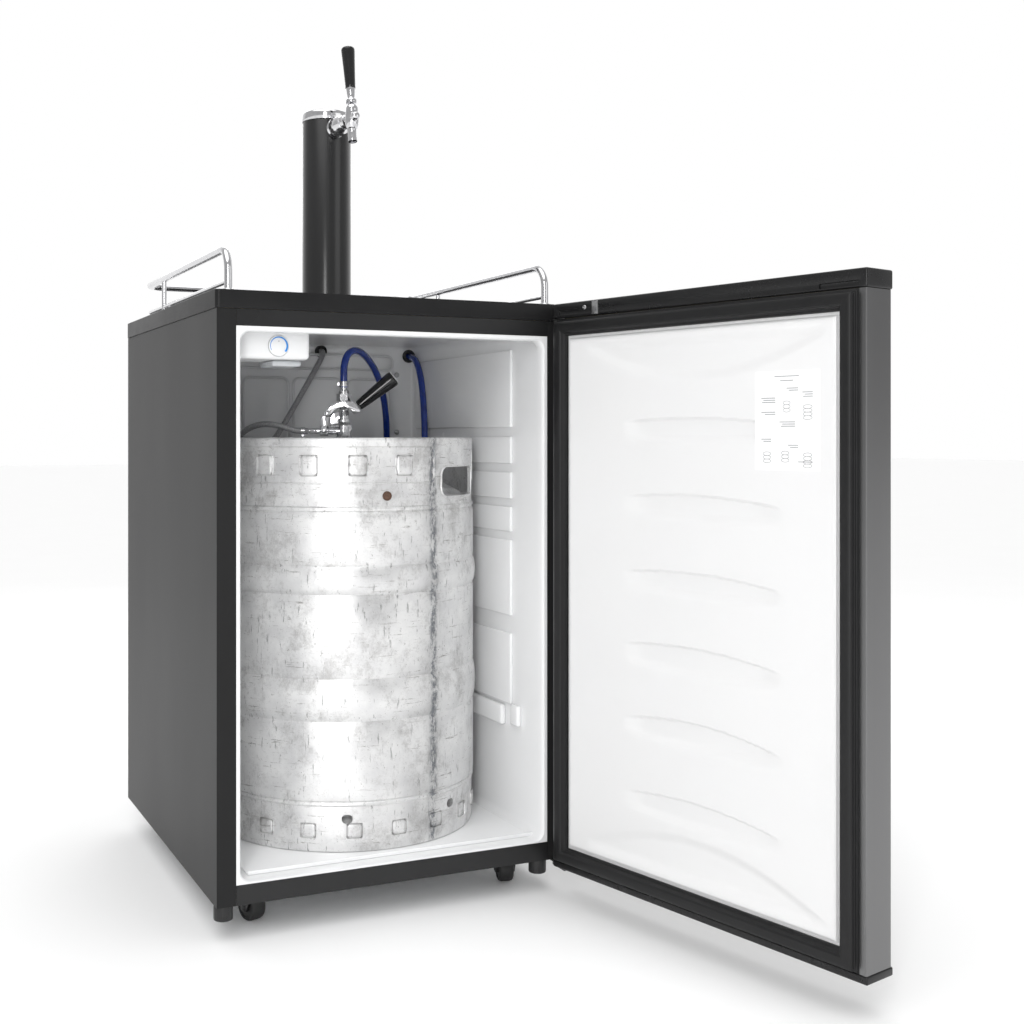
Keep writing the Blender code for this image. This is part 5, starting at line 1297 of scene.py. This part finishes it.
# ------------------------------------------------------------------ keg coupler
# Chrome coupler locked on the keg's neck: a flared base, a stem, a hexagon nut with the beer hose's clamped tail, a
# two-armed lever with a black grip, and on its left the gas tail with a quarter-turn shut-off.
COUPLER = CABINET @ Matrix.Translation((KEG_X, KEG_Y, 0)) @ Matrix.Rotation(COUPLER_TURN, 4, "Z")
stem = turned("coupler_stem", [(0, 0.6313), (0.0282, 0.6313), (0.0294, 0.6318), (0.0300, 0.6332),
                               (0.0300, 0.6352),
                               (0.0294, 0.6374), (0.0280, 0.6392), (0.0250, 0.6406), (0.0190, 0.6418),
                               (0.0140, 0.6438),
                               (0.0110, 0.6468), (0.0092, 0.6505), (0.0082, 0.6545), (0.0078, 0.6590),
                               (0.0078, 0.6658),
                               (0.0090, 0.6664), (0.0093, 0.6676), (0.0093, 0.6714), (0.0090, 0.6726),
                               (0.0078, 0.6732),
                               (0.0078, 0.6840), (0.0074, 0.6846), (0.0074, 0.6862), (0.0078, 0.6868),
                               (0.0078, 0.6985),
                               (0.0073, 0.6990), (0, 0.6990)], segments=72)
lug = block("lug", (-0.0214, -0.0040, 0.6610), (-0.0050, 0.0040, 0.6840), 0.0018, 4)
fin = extruded("fin", [(0.0050, 0.6450), (0.0110, 0.6500), (0.0122, 0.6600), (0.0100, 0.6640),
                       (0.0050, 0.6660)], -0.0025, 0.0025)
fin.matrix_world = Matrix(((1, 0, 0, 0), (0, 0, -1, 0), (0, 1, 0, 0), (0, 0, 0, 1)))
settle(fin)
soften(fin, 0.0010, 3)
inlet = turned("inlet", [(0, -0.0138), (0.0050, -0.0138), (0.0055, -0.0133), (0.0055, 0), (0, 0)],
               (0, 0, GAS_Z), "X", 40)
cut(stem, lug, fin, inlet, operation="UNION")
soften(stem, 0.0003, 2, 50)
placed(stem, chrome, "cabinet", "chrome", "coupler_body", place=COUPLER, angle=40)


def hex_nut(name, radius, low_z, high_z):
    """Hexagonal nut with chamfered corners."""
    nut_blank = extruded(name, [(radius * math.cos(math.tau * s / 6),
                                 radius * math.sin(math.tau * s / 6)) for s in range(6)],
                         low_z, high_z)
    round_off = turned("chamfer", [(0, low_z), (radius * 0.88, low_z), (radius * 1.01, low_z + radius * 0.10),
                                   (radius * 1.01, high_z - radius * 0.10), (radius * 0.88, high_z),
                                   (0, high_z)], segments=48)
    return cut(nut_blank, round_off, operation="INTERSECT")


nut = hex_nut("coupler_nut", 0.0112, 0.6993, 0.7110)
tail = turned("tail", [(0, 0.7105), (0.0078, 0.7105), (0.0078, 0.7145), (0.0070, 0.7155), (0.0052, 0.7160),
                       (0.0050, 0.7200),
                       (0, 0.7200)], segments=40)
placed(joined("coupler_nut", nut, tail), chrome, "cabinet", "chrome", "coupler_nut", place=COUPLER, angle=30)
clamp_steel = surface("clamp_steel", (0.70, 0.70, 0.71), (0.52, 0.52, 0.53), (0.18, 0.3), metallic=1.0,
                      scale=200, bump=0.06)


def clamp(name, radius, width, segments=48):
    """Hose clamp round the Z axis: a band with its worm screw at one side."""
    band = turned(name, [(radius, -width / 2), (radius + 0.0008, -width / 2), (radius + 0.0010, -width / 4),
                         (radius + 0.0008, 0), (radius + 0.0010, width / 4), (radius + 0.0008, width / 2),
                         (radius, width / 2)], segments=segments, closed=True)
    box = block("worm_box", (-radius - 0.0045, -0.0035, -width * 0.42),
                (-radius - 0.0004, 0.0035, width * 0.42), 0.0007, 2)
    worm = turned("worm", [(0, -0.0060), (0.0022, -0.0060), (0.0022, -0.0048), (0.0014, -0.0044),
                           (0.0014, 0.0050), (0, 0.0050)],
                  (-radius - 0.0026, 0, 0), "Y", 20)
    return joined(name, band, box, worm)


piece = clamp("beer_clamp", BEER_HOSE + 0.0001, 0.0078)
piece.matrix_world = Matrix.Translation((0.0, 0.0, 0.7256))
placed(piece, clamp_steel, "cabinet", "chrome", place=COUPLER, angle=40)
piece = clamp("gas_clamp", GAS_HOSE + 0.0001, 0.0064)
piece.matrix_world = (Matrix.Translation((GAS_BARB - 0.0075, 0.0,
                                          GAS_Z + 0.0003)) @ Matrix.Rotation(math.radians(90), 4, "Y")
                      @ Matrix.Rotation(math.radians(180), 4, "Z"))
placed(piece, clamp_steel, "cabinet", "chrome", place=COUPLER, angle=40)

pivot_x, pivot_z = -0.0248, 0.6804
eye = [(pivot_x + 0.0048 * math.cos(math.radians(-60 - 17 * step)),
        pivot_z + 0.0048 * math.sin(math.radians(-60 - 17 * step)))
       for step in range(11)]
arm_outline = [(0.0150, 0.6805), (0.0118, 0.6850), (0.0080, 0.6880), (0.0040, 0.6898), (0.0000, 0.6905),
               (-0.0045, 0.6900),
               (-0.0090, 0.6880), (-0.0132, 0.6853), (-0.0170, 0.6820), (-0.0210, 0.6765), *eye,
               (-0.0210, 0.6915),
               (-0.0160, 0.6952), (-0.0110, 0.6975), (-0.0050, 0.6994), (0.0010, 0.7000), (0.0060, 0.7000),
               (0.0110, 0.6995),
               (0.0160, 0.6975), (0.0250, 0.6840)]
UPRIGHT = Matrix(((1, 0, 0, 0), (0, 0, -1, 0), (0, 1, 0, 0), (0, 0, 0, 1)))


def upright(piece):
    """Stands a bar drawn in plan up into the X-Z plane."""
    piece.matrix_world = UPRIGHT
    settle(piece)
    return piece


arm = upright(extruded("coupler_arm", arm_outline, 0.0130, 0.0165))
other = upright(extruded("coupler_arm", arm_outline, -0.0165, -0.0130))
bridge = upright(extruded("bridge", [(0.0168, 0.6890), (0.0210, 0.6835), (0.0250, 0.6840), (0.0175, 0.6960)],
                          -0.0150, 0.0150))
axle = turned("lever_pin", [(0, -0.0176), (0.0022, -0.0176), (0.0034, -0.0170), (0.0034, -0.0163),
                            (0.0026, -0.0163),
                            (0.0026, 0.0163), (0.0034, 0.0163), (0.0034, 0.0170), (0.0022, 0.0176),
                            (0, 0.0176)],
              (pivot_x, 0, pivot_z), "Y", 32)
cut(arm, other, bridge, axle, operation="UNION")
arm.name = arm.data.name = "coupler_lever"
soften(arm, 0.0004, 2, 50)
placed(arm, chrome, "coupler_handle", "chrome", "coupler_lever", place=COUPLER, angle=40)
grip = turned("coupler_grip", [(0, 0.0), (0.0066, 0.0), (0.0073, 0.0006), (0.0076, 0.0020), (0.0084, 0.0110),
                               (0.0096, 0.0300),
                               (0.0108, 0.0480), (0.0117, 0.0610), (0.0119, 0.0640), (0.0117, 0.0664),
                               (0.0109, 0.0681),
                               (0.0096, 0.0689), (0.0060, 0.0690), (0, 0.0690)], segments=64)
rise = Matrix.Translation((0.0222, 0.0, 0.6927)) @ Matrix.Rotation(math.pi / 2 - math.radians(38.4), 4, "Y")
grip.matrix_world = rise
placed(grip, handle_black, "coupler_handle", "black_plastic", "coupler_grip", place=COUPLER, angle=50)
plug = turned("grip_plug", [(0, 0.0680), (0.0104, 0.0680), (0.0107, 0.0686), (0.0104, 0.0692), (0.0092, 0.0694),
                            (0, 0.0694)],
              segments=48)
plug.matrix_world = rise
placed(plug, white, "coupler_handle", "white_liner", place=COUPLER, angle=50)

valve = turned("gas_shutoff", [(0, -0.0530), (0.0034, -0.0530), (0.0037, -0.0525), (0.0040, -0.0500),
                               (0.0037, -0.0495),
                               (0.0041, -0.0468), (0.0038, -0.0462), (0.0043, -0.0435), (0.0040, -0.0430),
                               (0.0044, -0.0400),
                               (0.0044, -0.0365), (0.0066, -0.0362), (0.0078, -0.0350), (0.0078, -0.0240),
                               (0.0068, -0.0232),
                               (0.0055, -0.0230), (0.0055, -0.0141), (0, -0.0141)], (0, 0, GAS_Z), "X", 48)
boss = turned("boss", [(0, -0.0100), (0.0036, -0.0100), (0.0040, -0.0096), (0.0040, 0), (0, 0)],
              (-0.0295, 0, GAS_Z), "Y", 32)
cut(valve, boss, operation="UNION")
placed(valve, chrome, "cabinet", "chrome", "gas_valve_body", place=COUPLER, angle=40)
wing = upright(extruded("paddle", [(-0.0330, 0.6550), (-0.0270, 0.6550), (-0.0225, 0.6755), (-0.0228, 0.6768),
                                   (-0.0245, 0.6775),
                                   (-0.0330, 0.6766), (-0.0342, 0.6761), (-0.0345, 0.6750)], 0.0106, 0.0126))
hub = turned("hub", [(0, -0.0126), (0.0042, -0.0126), (0.0048, -0.0121), (0.0048, -0.0103), (0, -0.0103)],
             (-0.0295, 0, GAS_Z), "Y", 32)
cut(wing, hub, operation="UNION")
soften(wing, 0.0003, 2, 50)
placed(wing, chrome, "gas_paddle", "chrome", "gas_valve_lever", place=COUPLER, angle=40)

# ------------------------------------------------------------------ casters and levelling feet
# Black twin-cheek casters on swivel plates under the corners, and two black feet screwed up under the front.
caster_black = surface("caster_black", (0.014, 0.014, 0.0145), (0.010, 0.010, 0.0105), (0.32, 0.45), scale=60,
                       bump=0.15,
                       bump_scale=700)
tyre_black = surface("tyre_black", (0.022, 0.022, 0.022), (0.015, 0.015, 0.015), (0.5, 0.7), scale=90,
                     bump=0.25,
                     bump_scale=500)
BASE_Z, TRAIL, WHEEL_R = 0.046, 0.012, 0.0188
for name, (x, y, heading) in {"front_left": (0.0706, 0.058, 20), "front_right": (0.4438, 0.058, -15),
                              "rear_left": (0.0706, 0.5065, 160), "rear_right": (0.4438, 0.5065, 205)}.items():
    swivel = CABINET @ Matrix.Translation((x, y, BASE_Z)) @ Matrix.Rotation(math.radians(heading), 4, "Z")
    drop = WHEEL_R - BASE_Z
    cheek = [(-0.0070, -0.0040), (TRAIL + 0.0120, -0.0040), (TRAIL + 0.0060, drop - 0.0040),
             (TRAIL + 0.0035, drop - 0.0056),
             (TRAIL, drop - 0.0062), (TRAIL - 0.0035, drop - 0.0056), (TRAIL - 0.0060, drop - 0.0040)]
    sides = []
    for low_x, high_x in ((0.0112, 0.0140), (-0.0140, -0.0112)):
        plate = extruded("cheek", cheek, low_x, high_x)
        plate.matrix_world = Matrix(((0, 0, 1, 0), (1, 0, 0, 0), (0, 1, 0, 0), (0, 0, 0, 1)))
        settle(plate)
        sides.append(plate)
    crown = block("crown", (-0.0140, -0.0070, -0.0074), (0.0140, TRAIL + 0.0120, -0.0030), 0.0014, 3)
    bearing = turned("bearing", [(0, -0.0003), (0.0130, -0.0003), (0.0135, -0.0008), (0.0135, -0.0035),
                                 (0, -0.0035)], segments=48)
    bolt = turned("axle", [(0, -0.0152), (0.0030, -0.0152), (0.0040, -0.0144), (0.0040, -0.0138),
                           (0.0028, -0.0138),
                           (0.0028, 0.0138), (0.0040, 0.0138), (0.0040, 0.0144), (0.0030, 0.0152), (0, 0.0152)],
                  (0, TRAIL, drop), "X", 32)
    cut(sides[0], sides[1], crown, bearing, bolt, operation="UNION")
    sides[0].name = sides[0].data.name = f"{name}_fork"
    soften(sides[0], 0.0004, 2, 50)
    placed(sides[0], caster_black, f"{name}_caster", "black_plastic", f"{name}_caster_fork", place=swivel,
           angle=40)
    wheel = turned(f"{name}_wheel", [(0.0032, -0.0105), (0.0060, -0.0105), (0.0064, -0.0092), (0.0132, -0.0092),
                                     (0.0138, -0.0105), (0.0158, -0.0105), (0.0172, -0.0098), (0.0182, -0.0082),
                                     (WHEEL_R, -0.0055), (WHEEL_R, 0.0055), (0.0182, 0.0082), (0.0172, 0.0098),
                                     (0.0158, 0.0105), (0.0138, 0.0105), (0.0132, 0.0092), (0.0064, 0.0092),
                                     (0.0060, 0.0105), (0.0032, 0.0105)], (0, TRAIL, drop), "X", 64, True)
    placed(wheel, tyre_black, f"{name}_wheel", "black_plastic", f"{name}_caster_wheel", place=swivel, angle=40)
for side_name, x in (("left", 0.013), ("right", 0.472)):
    pad_outline = [(0, 0.0255), (0.0108, 0.0255), (0.0120, 0.0262), (0.0125, 0.0278), (0.0125, 0.0436),
                   (0.0121, 0.0450),
                   (0.0110, 0.0455), (0.0040, 0.0455), (0.0040, 0.0715), (0, 0.0715)]
    foot = turned(f"{side_name}_foot", pad_outline, (x, 0.0165, 0), segments=48)
    grooves = [turned("groove", [(0, 0.0290), (0.0009, 0.0290), (0.0009, 0.0480), (0, 0.0480)],
                      (x + 0.0129 * math.cos(math.tau * n / 16), 0.0165 + 0.0129 * math.sin(math.tau * n / 16),
                       0), segments=10)
               for n in range(16)]
    cut(foot, *grooves)
    placed(foot, caster_black, f"{side_name}_foot", "black_plastic", f"{side_name}_levelling_foot", angle=40)

# ------------------------------------------------------------------ machinery at the rear
# Black welded compressor pot on a foot plate, its relay cover, and the mains inlet set in the back panel.
pot_black = surface("compressor_black", (0.030, 0.030, 0.031), (0.020, 0.020, 0.021), (0.3, 0.45), scale=40,
                    bump=0.2,
                    bump_scale=300)
px, py, floor_z = 0.185, 0.5165, 0.0478
pot = turned("compressor_pot", [(0, 0.004), (0.026, 0.0045), (0.036, 0.009), (0.042, 0.016), (0.0452, 0.027),
                                (0.0465, 0.043),
                                (0.0465, 0.0760), (0.0485, 0.0765), (0.0490, 0.0775), (0.0490, 0.0812),
                                (0.0484, 0.0822),
                                (0.0465, 0.0828), (0.0465, 0.111), (0.0455, 0.124), (0.0420, 0.137),
                                (0.0350, 0.147),
                                (0.0240, 0.1535), (0.0120, 0.1563), (0, 0.157)], (px, py, floor_z), segments=72)
plate = block("foot_plate", (px - 0.075, py - 0.044, floor_z), (px + 0.075, py + 0.044, floor_z + 0.006),
              0.0022, 3)
cut(pot, plate, operation="UNION")
placed(pot, pot_black, "cabinet", "black_plastic", "compressor", angle=40)
relay = block("relay_cover", (px + 0.0505, py - 0.022, floor_z + 0.030),
              (px + 0.078, py + 0.022, floor_z + 0.095), 0.003, 4)
cut(relay, block("clip", (px + 0.0765, py - 0.010, floor_z + 0.055), (px + 0.080, py + 0.010, floor_z + 0.070),
                 0.0006, 2))
placed(relay, caster_black, "cabinet", "black_plastic", "relay_cover", angle=40)
inlet = block("power_inlet", (0.048, DEPTH + 0.0003, 0.312), (0.096, DEPTH + 0.012, 0.346), 0.002, 4)
cut(inlet, block("socket", (0.054, DEPTH + 0.003, 0.318), (0.090, DEPTH + 0.02, 0.340), 0.0022, 4))
placed(inlet, caster_black, "cabinet", "black_plastic", "power_inlet", angle=40)
blades = [block("blade", (x, DEPTH + 0.0027, 0.3265), (x + 0.0045, DEPTH + 0.0105, 0.3315), 0.0006, 2)
          for x in (0.0590, 0.0698, 0.0806)]
placed(joined("inlet_blades", *blades), zinc, "cabinet", "black_plastic")

# ------------------------------------------------------------------ gas supply at the rear
# Grey painted cylinder strapped to a galvanised shelf, with a brass valve and regulator and a dial gauge.
CYL_X, CYL_Y, CYL_R, SHELF_Z, VALVE_Z = 0.385, 0.643, 0.0665, 0.200, 0.632
wall_y = DEPTH + 0.0003
back_plate = block("bracket_plate", (CYL_X - 0.045, wall_y, SHELF_Z - 0.030),
                   (CYL_X + 0.045, wall_y + 0.003, 0.520), 0.0007, 2)
shelf = block("bracket_shelf", (CYL_X - 0.055, wall_y, SHELF_Z - 0.003),
              (CYL_X + 0.055, CYL_Y + 0.050, SHELF_Z), 0.0007, 2)
band = turned("band", [(CYL_R + 0.0006, 0.4702), (CYL_R + 0.0010, 0.470), (CYL_R + 0.0022, 0.4710),
                       (CYL_R + 0.0022, 0.4940),
                       (CYL_R + 0.0010, 0.495), (CYL_R + 0.0006, 0.4948)], (CYL_X, CYL_Y, 0), segments=72,
              closed=True)
arm = block("arm", (CYL_X - 0.012, wall_y, 0.472), (CYL_X + 0.012, CYL_Y - CYL_R - 0.0010, 0.493))
cut(back_plate, shelf, band, arm, operation="UNION")
back_plate.name = back_plate.data.name = "cylinder_bracket"
placed(back_plate, galvanised, "cabinet", "galvanised", "co2_bracket", angle=40)
placed(joined("bracket_screws", *[screw("bracket_screw", (x, wall_y + 0.003, z), 0.0036, "Y")
                                  for x in (CYL_X - 0.036, CYL_X + 0.036) for z in (0.180, 0.350, 0.510)]),
       zinc, "cabinet", "galvanised")
paint = surface("cylinder_paint", (0.56, 0.57, 0.58), (0.49, 0.50, 0.51), (0.25, 0.38), metallic=0.3, scale=18,
                bump=0.08,
                bump_scale=260)
low = SHELF_Z + 0.0003
vessel = [(0, low + 0.006), (0.045, low + 0.004), (0.0490, low + 0.0015), (0.0550, low), (0.0600, low + 0.0015),
          (0.0635, low + 0.0060), (0.0655, low + 0.0100), (CYL_R, low + 0.0160), (CYL_R, 0.548),
          *[(0.014 + (CYL_R - 0.014) * math.cos(math.pi / 2 * s / 14),
             0.550 + 0.040 * math.sin(math.pi / 2 * s / 14))
            for s in range(15)], (0.0148, 0.5930), (0.0148, 0.5990), (0.0140, 0.600), (0, 0.600)]
placed(turned("gas_cylinder", vessel, (CYL_X, CYL_Y, 0), segments=96), paint, "cabinet", "painted_cylinder",
       "co2_cylinder",
       angle=40)
brass = surface("brass", (0.80, 0.60, 0.28), (0.66, 0.47, 0.20), (0.18, 0.32), metallic=1.0, scale=80,
                bump=0.06,
                bump_scale=400)
valve = turned("cylinder_valve", [(0, 0.6003), (0.0128, 0.6003), (0.0135, 0.6010), (0.0135, 0.6095),
                                  (0.0115, 0.6130),
                                  (0.0115, 0.6490), (0.0108, 0.6502), (0.0080, 0.6530), (0.0080, 0.6600),
                                  (0, 0.6600)],
               (CYL_X, CYL_Y, 0), segments=48)
outlet = turned("outlet", [(0, -0.0240), (0.0088, -0.0240), (0.0095, -0.0233), (0.0095, -0.0130),
                           (0.0085, -0.0120), (0.0085, 0),
                           (0, 0)], (CYL_X, CYL_Y, VALVE_Z), "X", 48)
cut(valve, outlet, operation="UNION")
placed(valve, brass, "cabinet", "brass", "co2_valve", angle=40)
wheel = turned("cylinder_handwheel", [(0, 0.6603), (0.0070, 0.6603), (0.0080, 0.6625), (0.0190, 0.6625),
                                      (0.0208, 0.6630),
                                      (0.0215, 0.6646), (0.0215, 0.6696), (0.0208, 0.6710), (0.0190, 0.6715),
                                      (0.0150, 0.6700),
                                      (0.0090, 0.6700), (0.0080, 0.6718), (0, 0.6720)], (CYL_X, CYL_Y, 0),
               segments=72)
scallops = [turned("scallop", [(0, 0.655), (0.0030, 0.655), (0.0030, 0.680), (0, 0.680)],
                   (CYL_X + 0.0232 * math.cos(math.tau * n / 8), CYL_Y + 0.0232 * math.sin(math.tau * n / 8),
                    0), segments=20)
            for n in range(8)]
cut(wheel, *scallops)
placed(wheel, caster_black, "cylinder_handwheel", "black_plastic", "co2_handwheel", angle=40)
GAUGE_X, GAUGE_Z = CYL_X - 0.060, 0.6805
body = [(0, -0.0243), (0.0108, -0.0243), (0.0115, -0.0250), (0.0115, -0.0333), (0.0108, -0.0340),
        (0.0075, -0.0350),
        (0.0075, -0.0420), (0.0165, -0.0438), (0.0180, -0.0455), (0.0190, -0.0500), (0.0190, -0.0690),
        (0.0183, -0.0722),
        (0.0165, -0.0742), (0.0050, -0.0750), (0.0046, -0.0765), (0.0050, -0.0790), (0.0044, -0.0795),
        (0.0048, -0.0820),
        (0.0042, -0.0850), (0, -0.0850)]
regulator = turned("regulator", body, (CYL_X, CYL_Y, VALVE_Z), "X", 64)
stub = turned("gauge_stub", [(0, VALVE_Z), (0.0050, VALVE_Z), (0.0050, 0.6600), (0, 0.6600)],
              (GAUGE_X, CYL_Y, 0), segments=32)
cut(regulator, stub, operation="UNION")
placed(regulator, brass, "cabinet", "brass", "regulator", angle=40)
gauge = turned("gauge_case", [(0, -0.010), (0.0160, -0.010), (0.0180, -0.0094), (0.0196, -0.0080),
                              (0.0200, -0.0070),
                              (0.0200, 0.0118), (0.0194, 0.0132), (0.0184, 0.0138), (0.0176, 0.0134),
                              (0.0172, 0.0118),
                              (0, 0.0116)], (GAUGE_X, CYL_Y, GAUGE_Z), "Y", 72)
placed(gauge, chrome, "cabinet", "gauge_face", "pressure_gauge", angle=40)
face = turned("gauge_dial", [(0, 0.0117), (0.0170, 0.0117), (0.0170, 0.0121), (0, 0.0121)],
              (GAUGE_X, CYL_Y, GAUGE_Z), "Y", 64)
placed(face, white, "cabinet", "gauge_face", angle=30)
marks = []
for number in range(13):
    angle = math.radians(-135 + 270 * number / 12)
    long_mark = number % 3 == 0
    tick = block("tick", (-0.0003, 0.0119, 0.0118 if long_mark else 0.0132), (0.0003, 0.0124, 0.0155))
    tick.matrix_world = Matrix.Translation((GAUGE_X, CYL_Y, GAUGE_Z)) @ Matrix.Rotation(angle, 4, "Y")
    settle(tick)
    marks.append(tick)
needle = block("needle", (-0.0004, 0.0124, -0.0040), (0.0004, 0.0128, 0.0115))
needle.matrix_world = Matrix.Translation((GAUGE_X, CYL_Y, GAUGE_Z)) @ Matrix.Rotation(math.radians(-60), 4, "Y")
settle(needle)
hub = turned("needle_hub", [(0, 0.0121), (0.0016, 0.0121), (0.0016, 0.0130), (0, 0.0131)],
             (GAUGE_X, CYL_Y, GAUGE_Z), "Y", 24)
placed(joined("gauge_marks", needle, hub, *marks), rubber, "cabinet", "gauge_face", angle=30)

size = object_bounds()
